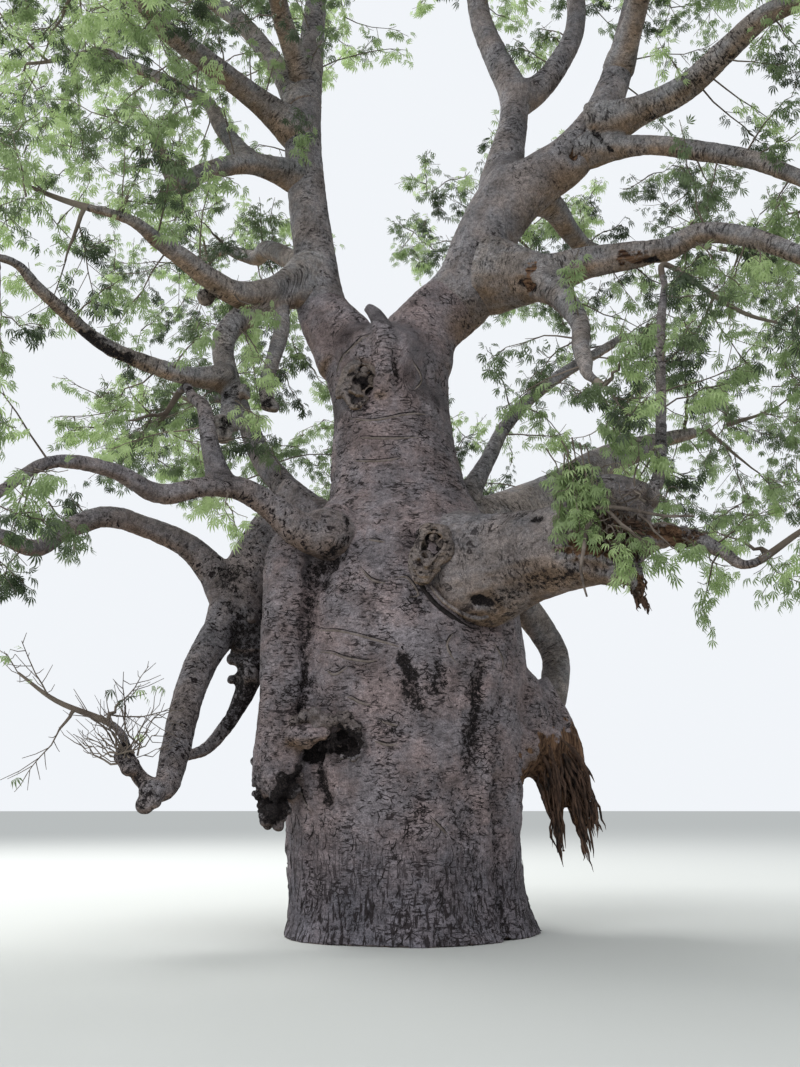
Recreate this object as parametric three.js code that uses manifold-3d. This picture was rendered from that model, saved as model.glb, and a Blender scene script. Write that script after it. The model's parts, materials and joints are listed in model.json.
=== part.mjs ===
// A baobab: a very stout bottle-shaped trunk that forks into leaders, with heavy kinked boughs
// from its shoulder and an open crown of leaf sprays. The front of the tree faces -Y, +X is to
// its right, +Z is up, and the origin is the middle of the flat cut at ground level.
//
// Sizes in the tables are metres and degrees; the model itself is in millimetres.

import * as THREE from 'three';
import { mergeVertices } from 'three/addons/utils/BufferGeometryUtils.js';
import Module from 'manifold-3d';

const wasm = await Module();
wasm.setup();

const METRE = 1000;
const CLEARANCE = 0.00045 * METRE; // air between neighbouring solids
const WELD = 0.001; // corners nearer than this are one corner

// Trunk: height, half width and sideways shift of its middle, from the cut to the fork.
const TRUNK_STATIONS = [
  { height: 0.0, half: 1.66, shift: 0.1 },
  { height: 0.18, half: 1.6, shift: 0.09 },
  { height: 0.6, half: 1.57, shift: 0.05 },
  { height: 1.2, half: 1.58, shift: 0.03 },
  { height: 1.9, half: 1.64, shift: 0.04 },
  { height: 2.7, half: 1.7, shift: 0.06 },
  { height: 3.5, half: 1.73, shift: 0.04 },
  { height: 4.2, half: 1.7, shift: 0.0 },
  { height: 4.8, half: 1.64, shift: 0.0 },
  { height: 5.25, half: 1.5, shift: 0.0 },
  { height: 5.6, half: 1.26, shift: 0.02 },
  { height: 5.95, half: 1.04, shift: 0.03 },
  { height: 6.4, half: 0.96, shift: -0.05 },
  { height: 6.95, half: 0.89, shift: -0.08 },
  { height: 7.4, half: 0.87, shift: -0.12 },
  { height: 7.85, half: 0.92, shift: -0.18 },
  { height: 8.25, half: 0.93, shift: -0.2 },
  { height: 8.5, half: 0.72, shift: -0.2 },
  { height: 8.66, half: 0.36, shift: -0.2 },
];
const TRUNK_SIDES = 22;
const TOE_COUNT = 5; // root flare: low toes round the foot
const TOE_SWELL = 0.05;
const TOE_HEIGHT = 0.35;
const FLUTE_COUNT = 3; // broad shallow flutes up the whole trunk
const FLUTE_SWELL = 0.018;
const FLUTE_TWIST = 0.4; // radians a metre
const LUMP_SIDES = 8;
const LUMP_RINGS = 4;

// Strips fused into the trunk: each runs through its points (x, y, z) with a girth at each.
const TRUNK_STRIPS = [
  // fused column down the left of the trunk, torn off a little above the ground
  { sides: 9, points: [[-1.25, -0.6, 5.45], [-1.5, -0.74, 4.9], [-1.53, -0.78, 4.0], [-1.5, -0.78, 3.1],
    [-1.52, -0.78, 2.5], [-1.6, -0.76, 2.0], [-1.55, -0.8, 1.62]],
    girths: [0.24, 0.31, 0.32, 0.33, 0.36, 0.32, 0.16] },
  // torn strips of bark and wood that hang from the bulge on the right
  { sides: 8, points: [[1.75, 0.05, 3.2], [2.0, 0.1, 2.45], [2.12, 0.1, 1.7], [2.25, 0.1, 0.98]],
    girths: [0.36, 0.33, 0.19, 0.03] },
  { sides: 8, points: [[1.85, 0.3, 3.3], [2.3, 0.3, 2.5], [2.46, 0.28, 1.7], [2.58, 0.28, 0.92]],
    girths: [0.3, 0.27, 0.18, 0.03] },
  // stump of a dead shoot in the fork
  { sides: 6, points: [[-0.18, -0.88, 7.9], [-0.26, -0.88, 8.35], [-0.42, -0.86, 8.72]],
    girths: [0.16, 0.13, 0.09] },
];

// Lumps fused on and hollows cut out: middle (x, y, z) and half sizes.
const TRUNK_LUMPS = [
  { middle: [1.55, 0.05, 2.75], half: [0.56, 0.75, 0.85] }, // bulge on the right
  { middle: [-1.1, -1.36, 2.5], half: [0.4, 0.34, 0.2] }, // burl beside the column
  { middle: [-1.62, -0.9, 1.85], half: [0.26, 0.24, 0.26] }, // torn foot of the column
  { middle: [0.4, -1.52, 4.86], half: [0.24, 0.24, 0.3] }, // knot at the right bough's collar
  { middle: [-0.86, -1.16, 5.2], half: [0.34, 0.36, 0.4] }, // collar of the left bough
];
const TRUNK_HOLLOWS = [
  { middle: [-0.92, -1.68, 2.42], half: [0.22, 0.14, 0.11] },
  { middle: [0.42, -1.8, 4.9], half: [0.1, 0.14, 0.13] },
  { middle: [-0.52, -0.85, 7.62], half: [0.1, 0.14, 0.18] },
];

// Limbs. A limb starts at a root point in the trunk, or on another limb (at = fraction along it),
// with a girth (radius) there. Each reach is [length, compass heading, rise, girth at its end]:
// heading 0 is away from the front (+Y), 90 is to the right (+X), rise is above level.
// foliage: aim [distance, heading, rise] from the tip to the middle of its mass, the mass's half
// width and half height, and how many side twigs and leaf sprays per twig it carries.
const LIMBS = [
  { name: 'west_leader', root: [-0.5, -0.1, 7.7], girth: 0.65, sides: 12,
    reaches: [[0.8, 280, 65, 0.53], [0.75, 275, 60, 0.4], [0.95, 305, 80, 0.33], [1.25, 310, 80, 0.31],
      [1.2, 305, 85, 0.3], [1.8, 5, 75, 0.23], [1.85, 5, 75, 0.18]],
    foliage: { aim: [1.3, 330, 60], wide: 2.9, tall: 2.2, twigs: 6, sprays: 3 } },
  { name: 'east_leader', root: [0.05, -0.1, 7.7], girth: 0.75, sides: 12,
    reaches: [[0.6, 95, 75, 0.64], [0.5, 100, 60, 0.52], [0.8, 95, 45, 0.52], [0.95, 90, 70, 0.48],
      [0.7, 90, 60, 0.5], [0.65, 100, 35, 0.41], [0.55, 110, 30, 0.37], [0.85, 95, 55, 0.28],
      [1.45, 50, 65, 0.23], [1.65, 50, 70, 0.21], [1.55, 40, 65, 0.16]],
    foliage: { aim: [1.3, 70, 50], wide: 3.0, tall: 2.2, twigs: 6, sprays: 3 } },
  { name: 'middle_leader', from: 'east_leader', at: 0.45, girth: 0.34, sides: 10,
    reaches: [[0.8, 5, 80, 0.27], [0.95, 45, 75, 0.23], [0.65, 10, 80, 0.25], [0.85, 305, 70, 0.22],
      [1.2, 325, 70, 0.19], [2.0, 350, 75, 0.17]],
    foliage: { aim: [1.2, 60, 60], wide: 3.0, tall: 2.1, twigs: 6, sprays: 3 } },
  { name: 'middle_east_fork', from: 'middle_leader', at: 0.45, girth: 0.21, sides: 8,
    reaches: [[0.5, 80, 35, 0.2], [0.65, 75, 55, 0.19], [0.9, 65, 65, 0.17], [1.0, 25, 80, 0.16],
      [1.0, 335, 75, 0.14]] },
  { name: 'high_west_bough', from: 'west_leader', at: 0.7, girth: 0.25, sides: 8,
    reaches: [[0.95, 240, 25, 0.19], [1.0, 230, 15, 0.17], [0.75, 220, 5, 0.15], [0.65, 210, 10, 0.12]],
    foliage: { aim: [1.5, 225, 10], wide: 3.1, tall: 2.4, twigs: 7, sprays: 3 } },
  { name: 'rising_west_bough', from: 'west_leader', at: 0.75, girth: 0.23, sides: 8,
    reaches: [[1.6, 310, 60, 0.17], [1.6, 305, 55, 0.16], [1.35, 295, 45, 0.13]],
    foliage: { aim: [1.3, 300, 20], wide: 2.8, tall: 2.2, twigs: 6, sprays: 3 } },
  { name: 'kinked_west_bough', from: 'west_leader', at: 0.6, girth: 0.21, sides: 7,
    reaches: [[1.0, 235, -5, 0.16], [0.9, 235, -30, 0.14], [0.6, 220, -45, 0.13], [0.45, 215, 40, 0.1],
      [0.45, 205, 45, 0.09]] },
  { name: 'upper_west_arm', from: 'kinked_west_bough', at: 0.2, girth: 0.14, sides: 7,
    reaches: [[1.0, 295, 55, 0.13], [0.7, 305, 60, 0.11], [0.8, 300, 40, 0.12], [1.55, 290, 35, 0.09]],
    foliage: { aim: [1.6, 285, 10], wide: 2.9, tall: 2.2, twigs: 6, sprays: 3 } },
  { name: 'mid_west_bough', from: 'west_leader', at: 0.4, girth: 0.25, sides: 7,
    reaches: [[1.0, 225, -40, 0.2], [0.7, 230, -25, 0.19], [0.5, 230, 10, 0.16], [0.5, 230, 20, 0.14],
      [0.45, 225, 15, 0.11]],
    foliage: { aim: [1.3, 250, 15], wide: 2.4, tall: 1.8, twigs: 5, sprays: 3 } },
  { name: 'hanging_west_limb', from: 'west_leader', at: 0.35, girth: 0.25, sides: 7,
    reaches: [[0.75, 230, -30, 0.2], [0.95, 245, -40, 0.18], [0.5, 225, -70, 0.16], [0.65, 120, -75, 0.16],
      [0.7, 165, -80, 0.13]] },
  { name: 'reaching_west_arm', from: 'hanging_west_limb', at: 0.75, girth: 0.16, sides: 7,
    reaches: [[0.6, 235, -10, 0.13], [0.55, 240, 5, 0.12], [0.7, 235, 10, 0.12], [0.65, 225, 25, 0.09],
      [0.45, 220, 25, 0.08]],
    foliage: { aim: [1.4, 235, 5], wide: 2.6, tall: 1.9, twigs: 5, sprays: 3 } },
  { name: 'west_bough', root: [-0.65, -0.8, 5.2], girth: 0.36, sides: 9,
    reaches: [[0.6, 215, -5, 0.36], [0.4, 235, 0, 0.24], [0.5, 250, 35, 0.18], [0.45, 250, 25, 0.16],
      [0.5, 245, -5, 0.13], [0.55, 250, -15, 0.13], [0.7, 230, 15, 0.1], [0.75, 230, -5, 0.08],
      [0.75, 225, -40, 0.07]],
    foliage: { aim: [1.2, 225, -5], wide: 2.4, tall: 1.7, twigs: 5, sprays: 3 } },
  { name: 'west_upright', from: 'west_bough', at: 0.5, girth: 0.14, sides: 6,
    reaches: [[0.65, 300, 70, 0.12], [0.6, 320, 70, 0.1], [0.35, 315, 40, 0.08]],
    foliage: { aim: [1.0, 320, -5], wide: 1.7, tall: 1.2, twigs: 5, sprays: 3 } },
  { name: 'drooping_west_limb', root: [-1.3, 0.2, 5.8], girth: 0.51, sides: 10,
    reaches: [[0.7, 260, -40, 0.44], [0.85, 245, -55, 0.37], [0.75, 215, -60, 0.25], [0.6, 215, -55, 0.22],
      [0.7, 200, -60, 0.2], [0.75, 190, -65, 0.19], [0.5, 190, -55, 0.14], [0.3, 260, 25, 0.1],
      [0.35, 255, 60, 0.07]],
    foliage: { aim: [1.1, 260, 35], wide: 1.7, tall: 1.2, twigs: 5, sprays: 1 } },
  { name: 'low_west_bough', from: 'drooping_west_limb', at: 0.25, girth: 0.26, sides: 8,
    reaches: [[0.5, 265, 50, 0.2], [0.55, 245, 40, 0.17], [0.65, 250, 20, 0.15], [0.55, 235, 5, 0.15],
      [0.6, 250, -25, 0.14], [0.45, 230, -40, 0.12], [0.5, 230, 10, 0.1]],
    foliage: { aim: [1.5, 250, 10], wide: 2.5, tall: 1.7, twigs: 5, sprays: 3 } },
  { name: 'burled_limb', from: 'drooping_west_limb', at: 0.25, girth: 0.24, sides: 7,
    reaches: [[0.65, 95, -70, 0.24], [0.45, 115, -85, 0.18], [0.55, 240, -70, 0.11], [0.6, 255, -55, 0.09],
      [0.35, 250, -25, 0.07]] },
  { name: 'back_west_bough', root: [-1.05, 0.7, 5.75], girth: 0.28, sides: 8,
    reaches: [[1.1, 305, 40, 0.22], [1.05, 315, 45, 0.2], [1.15, 320, 55, 0.16]],
    foliage: { aim: [1.6, 315, 25], wide: 2.9, tall: 2.2, twigs: 6, sprays: 3 } },
  { name: 'far_east_bough', from: 'east_leader', at: 0.7, girth: 0.3, sides: 8,
    reaches: [[0.75, 120, 5, 0.21], [0.75, 115, 15, 0.2], [0.7, 130, 25, 0.18], [0.65, 130, 25, 0.16],
      [0.55, 135, -5, 0.14]],
    foliage: { aim: [1.6, 110, 15], wide: 3.1, tall: 2.3, twigs: 7, sprays: 3 } },
  { name: 'level_east_bough', from: 'east_leader', at: 0.65, girth: 0.22, sides: 7,
    reaches: [[1.1, 115, -10, 0.14], [0.8, 110, -20, 0.15], [0.85, 125, -30, 0.13], [0.85, 125, -40, 0.11]],
    foliage: { aim: [1.6, 85, 10], wide: 2.8, tall: 2.0, twigs: 6, sprays: 3 } },
  { name: 'mid_east_bough', from: 'east_leader', at: 0.3, girth: 0.46, sides: 10,
    reaches: [[0.7, 115, -15, 0.38], [0.55, 125, -15, 0.3], [0.55, 110, 10, 0.23], [0.6, 120, -5, 0.2],
      [0.6, 110, 0, 0.17], [0.5, 115, 15, 0.15], [0.65, 120, -20, 0.14], [0.8, 120, -35, 0.12]],
    foliage: { aim: [1.6, 125, -25], wide: 2.8, tall: 2.0, twigs: 6, sprays: 3 } },
  { name: 'hanging_east_limb', from: 'mid_east_bough', at: 0.2, girth: 0.22, sides: 7,
    reaches: [[0.85, 150, -45, 0.18], [0.85, 165, -50, 0.13], [0.7, 190, -50, 0.12], [0.45, 180, -55, 0.1]],
    foliage: { aim: [0.7, 165, -45], wide: 1.3, tall: 1.1, twigs: 4, sprays: 3 } },
  { name: 'great_east_bough', root: [0.65, -0.5, 4.75], girth: 0.7, sides: 12,
    reaches: [[0.75, 145, -5, 0.58], [0.75, 130, 5, 0.51], [0.65, 130, 5, 0.52], [0.55, 120, 5, 0.54],
      [0.3, 120, 0, 0.42], [0.3, 110, -5, 0.2], [0.45, 105, -15, 0.12], [0.3, 115, -30, 0.08]],
    foliage: { aim: [1.1, 95, 15], wide: 1.6, tall: 1.1, twigs: 4, sprays: 3 } },
  { name: 'east_upright', from: 'great_east_bough', at: 0.62, girth: 0.11, sides: 6,
    reaches: [[0.8, 90, 65, 0.08], [1.05, 45, 80, 0.07], [1.05, 50, 85, 0.07], [0.7, 45, 75, 0.05]],
    foliage: { aim: [1.1, 75, -10], wide: 1.8, tall: 1.2, twigs: 5, sprays: 3 } },
  { name: 'back_east_bough', root: [0.95, 0.4, 5.45], girth: 0.45, sides: 10,
    reaches: [[1.2, 60, 30, 0.39], [0.95, 60, 30, 0.34], [1.05, 60, 35, 0.27], [1.2, 55, 25, 0.21]],
    foliage: { aim: [1.6, 70, 20], wide: 3.0, tall: 2.2, twigs: 6, sprays: 3 } },
  { name: 'looping_east_limb', root: [1.35, 0.9, 5.1], girth: 0.26, sides: 8,
    reaches: [[0.75, 70, -40, 0.23], [0.6, 90, -55, 0.21], [0.4, 110, -70, 0.21], [0.65, 205, -65, 0.22],
      [0.4, 225, -50, 0.22]] },
  { name: 'inner_east_limb', root: [0.8, 0.2, 5.75], girth: 0.18, sides: 7,
    reaches: [[1.15, 70, 60, 0.12], [0.65, 55, 60, 0.11], [0.75, 65, 50, 0.11], [0.9, 65, 40, 0.1],
      [1.15, 65, 35, 0.08]],
    foliage: { aim: [1.2, 50, 20], wide: 2.1, tall: 1.6, twigs: 5, sprays: 3 } },
  { name: 'back_east_arm', from: 'east_leader', at: 0.5, girth: 0.22, sides: 7,
    reaches: [[0.65, 50, -5, 0.18], [0.6, 40, -20, 0.16], [0.65, 40, -5, 0.15], [1.05, 50, 10, 0.14],
      [1.35, 50, 30, 0.13]],
    foliage: { aim: [1.6, 60, 15], wide: 3.0, tall: 2.2, twigs: 6, sprays: 3 } },
  { name: 'north_bough', root: [-0.1, 0.8, 5.5], girth: 0.42, sides: 9,
    reaches: [[1.3, 5, 25, 0.34], [1.2, 350, 35, 0.27], [1.2, 10, 45, 0.22], [1.1, 0, 30, 0.17]],
    foliage: { aim: [1.5, 355, 20], wide: 3.1, tall: 2.3, twigs: 6, sprays: 3 } },
  { name: 'north_west_bough', from: 'west_leader', at: 0.4, girth: 0.24, sides: 7,
    reaches: [[1.2, 340, 30, 0.19], [1.2, 320, 35, 0.16], [1.1, 340, 20, 0.14], [1.0, 325, 30, 0.12]],
    foliage: { aim: [1.5, 325, 20], wide: 3.0, tall: 2.2, twigs: 6, sprays: 3 } },
  { name: 'north_high_bough', from: 'east_leader', at: 0.32, girth: 0.28, sides: 7,
    reaches: [[1.2, 15, 35, 0.21], [1.2, 5, 45, 0.18], [1.1, 25, 40, 0.15], [1.0, 10, 30, 0.12]],
    foliage: { aim: [1.5, 10, 20], wide: 3.0, tall: 2.2, twigs: 6, sprays: 3 } },
  { name: 'south_west_bough', from: 'west_leader', at: 0.8, girth: 0.19, sides: 7,
    reaches: [[1.1, 205, 40, 0.16], [1.1, 190, 30, 0.13], [1.0, 205, 35, 0.1]],
    foliage: { aim: [1.3, 200, 15], wide: 2.8, tall: 2.1, twigs: 6, sprays: 3 } },
  { name: 'south_east_bough', from: 'east_leader', at: 0.8, girth: 0.19, sides: 7,
    reaches: [[1.1, 165, 40, 0.16], [1.1, 180, 30, 0.13], [1.0, 165, 35, 0.1]],
    foliage: { aim: [1.3, 165, 15], wide: 2.8, tall: 2.1, twigs: 6, sprays: 3 } },
];

const BROKEN_BOUGH = 'great_east_bough';
// Its broken end: two lips of torn wood fused on, as strips.
const BROKEN_LIPS = [
  { sides: 7, points: [[2.15, -2.1, 5.2], [2.6, -2.35, 5.38], [3.05, -2.5, 5.32]],
    girths: [0.26, 0.27, 0.16] },
  { sides: 7, points: [[2.3, -2.2, 4.55], [2.75, -2.45, 4.4], [3.0, -2.5, 4.05]],
    girths: [0.26, 0.22, 0.05] },
];
const LEAST_RINGS = 4; // along a short limb
const STOUT_GIRTH = 0.3; // limbs with a root stouter than this have old bark

// Foliage. Each spray is a blade larger than life, because it stands for a whole spray of leaves.
const SPRAY_LENGTH = 1.4;
const SPRAY_FULL_AT = 2.4; // half width of the masses whose sprays have the full length
const SPRAY_LEAST = 0.55; // least share of the full length, in a small mass
const SPRAY_VARIES = 0.15; // each spray is longer or shorter by up to this share
const SPRAY_WIDTH_SHARE = 0.55;
const SPRAY_RIB = 0.05; // height of the raised rib, as a share of the length
const SPRAY_WIDEST = 0.45; // share of the length from its root
const SPRAY_DROOP = 48; // degrees below its twig
const SPRAY_SWING = [50, 70]; // degrees to either side of its twig
const SPRAY_ROLL = 0.8; // most that a side spray rolls about its own length, in radians
const END_SPRAY_ROLL = 0.6; // the same for a spray at the end of a twig
const SPRAYS_FROM = 0.3; // first and last side spray along a twig, as shares of its length
const SPRAYS_TO = 0.9;
const SPRAY_APART = 0.34; // between the middles of two sprays
const SPRAY_TRIES = [1, 0.8, 0.65]; // a spray that finds no room is tried shorter, then skipped
const SPRAY_INNER = 0.25; // share of a spray that may lie near its own twig's neighbours
const STEM_SIDES = 3;
const STEM_RINGS = 4;
const STEM_BEND = 0.35; // the stem leaves the limb along the limb's way, for this share of its reach
const STEM_END = 0.04; // girth of a mass's stem well inside it
const STEM_GIRTHS = [2 * STEM_END, STEM_END, 0.6 * STEM_END];
const STEM_BEYOND = 0.45; // how far the stem runs past the middle, as a share of the half width
const STEM_FLATTENS = 0.4; // how much less far a steep stem runs
const TWIGS_FROM = 0.22; // first and last side twig along the stem
const TWIGS_TO = 0.9;
const TWIG_LEANS = [115, 35]; // degrees between the stem and its first and last side twig
const GOLDEN_TURN = 137.5; // degrees from one side twig to the next, round their stem
const TWIG_GIRTH = 0.04;
const TWIG_LONGEST = 2.8;
const TWIG_SHORTEST = 0.3;
const TWIG_STEP = 0.08; // a twig's room is measured in steps of this length
const TWIG_SHORT_OF_EDGE = 0.85; // a twig stops this many spray lengths short of the space's edge
const TWIG_END_SPRAY = 0.93; // where along a twig its end spray starts
const STEM_END_SPRAY = 0.97;
const SPACE_MARGIN = 0.05; // kept inside a mass's space
const LIMB_MARGIN = 0.06; // kept from every limb
const TRUNK_ROOM = 1.1; // foliage sees the trunk and its strips as this much stouter
const STRIP_ROOM = 1.2;
const FIRST_SEED = 1000; // masses take their seeds from here on, in order

const UP = new THREE.Vector3(0, 0, 1);
const ANY_WAY = new THREE.Vector3(0.31, 0.95, 0.05); // no limb starts along this
const at = ([x, y, z]) => new THREE.Vector3(x, y, z).multiplyScalar(METRE);
const { clamp, lerp, degToRad } = THREE.MathUtils;

/** A seeded run of numbers from 0 to 1. */
function dice(seed) {
  let state = seed;
  return () => {
    state = (state + 0x6d2b79f5) | 0;
    let mixed = Math.imul(state ^ (state >>> 15), 1 | state);
    mixed = (mixed + Math.imul(mixed ^ (mixed >>> 7), 61 | mixed)) ^ mixed;
    return ((mixed ^ (mixed >>> 14)) >>> 0) / 4294967296;
  };
}

/** The way along a compass heading and a rise, both in degrees. */
function bearing(heading, rise) {
  const turn = degToRad(heading);
  const lift = degToRad(rise);
  return new THREE.Vector3(Math.cos(lift) * Math.sin(turn), Math.cos(lift) * Math.cos(turn), Math.sin(lift));
}

const smoothCurve = (points) => new THREE.CatmullRomCurve3(points, false, 'catmullrom', 0.5);

/** A girth read between the values of a list that runs from root to tip. */
function between(values, fraction) {
  const place = fraction * (values.length - 1);
  const step = Math.min(Math.floor(place), values.length - 2);
  return lerp(values[step], values[step + 1], place - step) * METRE;
}

/** A round tube bent along a curve, closed at both ends, with its girths from root to tip. */
function tube(curve, girths, sides, rings, grow = 0) {
  const shape = new THREE.CylinderGeometry(1, 1, 1, sides, rings);
  const frames = [];
  let across = ANY_WAY;
  for (let ring = 0; ring <= rings; ring += 1) {
    const fraction = ring / rings;
    const along = curve.getTangent(fraction);
    across = across.clone().addScaledVector(along, -across.dot(along)).normalize();
    const middle = curve.getPoint(fraction);
    if (ring === 0) middle.addScaledVector(along, -grow);
    if (ring === rings) middle.addScaledVector(along, grow);
    const third = across.clone().cross(along);
    frames.push({ middle, across, third, girth: between(girths, fraction) + grow });
  }
  const spots = shape.attributes.position;
  for (let i = 0; i < spots.count; i += 1) {
    const frame = frames[Math.round((spots.getY(i) + 0.5) * rings)];
    const spot = frame.middle.clone()
      .addScaledVector(frame.across, spots.getX(i) * frame.girth)
      .addScaledVector(frame.third, spots.getZ(i) * frame.girth);
    spots.setXYZ(i, spot.x, spot.y, spot.z);
  }
  return shape;
}

/** A three.js geometry as a solid that can be joined and cut. */
function solid(geometry) {
  const bare = geometry.clone();
  bare.deleteAttribute('normal');
  bare.deleteAttribute('uv');
  const merged = mergeVertices(bare, WELD);
  return new wasm.Manifold(new wasm.Mesh({
    numProp: 3,
    vertProperties: Float32Array.from(merged.attributes.position.array),
    triVerts: Uint32Array.from(merged.index.array),
  }));
}

/** The largest body of a solid: a cut can leave loose scraps. */
function largest(whole) {
  return whole.decompose().reduce((best, piece) => (piece.volume() > best.volume() ? piece : best));
}

function strip({ points, girths, sides }, grow = 0) {
  return solid(tube(smoothCurve(points.map(at)), girths, sides, points.length, grow));
}

function lump({ middle, half }, grow = 0) {
  const ball = new THREE.SphereGeometry(1, LUMP_SIDES, LUMP_RINGS);
  ball.scale(half[0] * METRE + grow, half[1] * METRE + grow, half[2] * METRE + grow);
  ball.translate(...at(middle).toArray());
  return solid(ball);
}

/** The trunk's barrel: round sections at the stations, with flutes and toes. */
function barrel(grow) {
  const rings = TRUNK_STATIONS.length - 1;
  const shape = new THREE.CylinderGeometry(1, 1, 1, TRUNK_SIDES, rings);
  const spots = shape.attributes.position;
  for (let i = 0; i < spots.count; i += 1) {
    const ring = Math.round((spots.getY(i) + 0.5) * rings);
    const station = TRUNK_STATIONS[ring];
    const x = spots.getX(i);
    const y = -spots.getZ(i);
    const turn = Math.atan2(y, x);
    const toes = TOE_SWELL * Math.exp(-station.height / TOE_HEIGHT) * (1 + Math.cos(TOE_COUNT * turn));
    const flutes = 1 + FLUTE_SWELL * Math.cos(FLUTE_COUNT * turn + FLUTE_TWIST * station.height);
    const reach = (station.half * flutes + toes) * METRE + grow;
    const rise = ring === rings ? grow : 0;
    spots.setXYZ(i, station.shift * METRE + x * reach, y * reach, station.height * METRE + rise);
  }
  return solid(shape);
}

function trunkSolid(grow = 0) {
  const parts = [barrel(grow)];
  TRUNK_STRIPS.forEach((piece) => parts.push(strip(piece, grow)));
  TRUNK_LUMPS.forEach((piece) => parts.push(lump(piece, grow)));
  let whole = wasm.Manifold.union(parts);
  TRUNK_HOLLOWS.forEach((hollow) => {
    whole = whole.subtract(lump(hollow, -grow));
  });
  return largest(whole);
}

/** Each limb's curve and girths, worked out in order because limbs start on one another. */
const limbs = new Map();
LIMBS.forEach((row) => {
  const parent = limbs.get(row.from);
  const points = [parent ? parent.curve.getPoint(row.at) : at(row.root)];
  row.reaches.forEach(([length, heading, rise]) => {
    points.push(points.at(-1).clone().addScaledVector(bearing(heading, rise), length * METRE));
  });
  const girths = [row.girth, ...row.reaches.map((reach) => reach[3])];
  const rings = Math.max(LEAST_RINGS, row.reaches.length);
  limbs.set(row.name, { ...row, curve: smoothCurve(points), girths, rings });
});

function limbSolid(limb, grow = 0) {
  const body = solid(tube(limb.curve, limb.girths, limb.sides, limb.rings, grow));
  if (limb.name !== BROKEN_BOUGH) return body;
  return wasm.Manifold.union([body, ...BROKEN_LIPS.map((lip) => strip(lip, grow))]);
}

/** Short straight stretches of every limb and of the trunk, for keeping foliage clear. */
const stretches = [];
limbs.forEach((limb) => {
  const count = 2 * limb.rings;
  for (let i = 0; i < count; i += 1) {
    stretches.push({
      from: limb.curve.getPoint(i / count), to: limb.curve.getPoint((i + 1) / count),
      girth: Math.max(between(limb.girths, i / count), between(limb.girths, (i + 1) / count)),
    });
  }
});
TRUNK_STATIONS.slice(1).forEach((station, i) => {
  const below = TRUNK_STATIONS[i];
  stretches.push({
    from: at([below.shift, 0, below.height]), to: at([station.shift, 0, station.height]),
    girth: TRUNK_ROOM * METRE * Math.max(below.half, station.half),
  });
});
[...TRUNK_STRIPS, ...BROKEN_LIPS].forEach(({ points, girths }) => {
  points.slice(1).forEach((point, i) => {
    const girth = STRIP_ROOM * METRE * Math.max(girths[i], girths[i + 1]);
    stretches.push({ from: at(points[i]), to: at(point), girth });
  });
});

/** The distance between two straight stretches. */
function distance(a, b, c, d) {
  const first = b.clone().sub(a);
  const second = d.clone().sub(c);
  const offset = a.clone().sub(c);
  const firstSq = first.dot(first);
  const secondSq = second.dot(second);
  const slant = first.dot(second);
  const spread = firstSq * secondSq - slant * slant;
  let s = spread > 1e-6 ? (slant * second.dot(offset) - secondSq * first.dot(offset)) / spread : 0;
  s = clamp(s, 0, 1);
  let t = (slant * s + second.dot(offset)) / secondSq;
  if (t < 0 || t > 1) {
    t = clamp(t, 0, 1);
    s = clamp((slant * t - first.dot(offset)) / firstSq, 0, 1);
  }
  return offset.addScaledVector(first, s).addScaledVector(second, -t).length();
}

function clearOfLimbs(from, to, girth) {
  const margin = girth + LIMB_MARGIN * METRE;
  return stretches.every((bar) => distance(from, to, bar.from, bar.to) > bar.girth + margin);
}

/** The masses' spaces: an egg each, parted from its neighbours by flat walls. */
const masses = [...limbs.values()].filter((limb) => limb.foliage).map((limb, index) => {
  const { aim: [length, heading, rise], wide, tall } = limb.foliage;
  const tip = limb.curve.getPoint(1);
  const middle = tip.clone().addScaledVector(bearing(heading, rise), length * METRE);
  return { ...limb.foliage, limb, index, tip, middle, wide: wide * METRE, tall: tall * METRE };
});

function inSpace(mass, spot, margin) {
  const offset = spot.clone().sub(mass.middle);
  const flat = Math.hypot(offset.x, offset.y) / (mass.wide - margin);
  if (flat ** 2 + (offset.z / (mass.tall - margin)) ** 2 > 1) return false;
  const own = spot.distanceToSquared(mass.middle) - mass.wide ** 2;
  return masses.every((other) => {
    if (other === mass) return true;
    const theirs = spot.distanceToSquared(other.middle) - other.wide ** 2;
    return (theirs - own) / (2 * other.middle.distanceTo(mass.middle)) >= margin;
  });
}

/** How far a straight twig can run before it leaves its space. */
function room(mass, from, way) {
  const step = TWIG_STEP * METRE;
  let length = 0;
  while (length < TWIG_LONGEST * METRE
    && inSpace(mass, from.clone().addScaledVector(way, length + step), SPACE_MARGIN * METRE)) {
    length += step;
  }
  return length;
}

/** One spray: a blade with a flat underside and a raised rib, its root in the middle of its twig. */
function spray(root, way, length, roll) {
  const side = way.clone().cross(UP).normalize().applyAxisAngle(way, roll);
  const raised = side.clone().cross(way);
  const end = root.clone().addScaledVector(way, length);
  const waist = root.clone().lerp(end, SPRAY_WIDEST);
  const half = 0.5 * SPRAY_WIDTH_SHARE * length;
  const left = waist.clone().addScaledVector(side, half);
  const right = waist.clone().addScaledVector(side, -half);
  const rib = waist.clone().addScaledVector(raised, SPRAY_RIB * length);
  const blade = new THREE.BufferGeometry();
  const corners = [root, left, rib, right, end].flatMap((corner) => corner.toArray());
  blade.setAttribute('position', new THREE.Float32BufferAttribute(corners, 3));
  blade.setIndex([0, 1, 2, 0, 2, 3, 0, 3, 1, 4, 2, 1, 4, 3, 2, 4, 1, 3]);
  return { blade, outline: [left, right, end], inner: root.clone().lerp(end, SPRAY_INNER), end, half };
}

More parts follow.
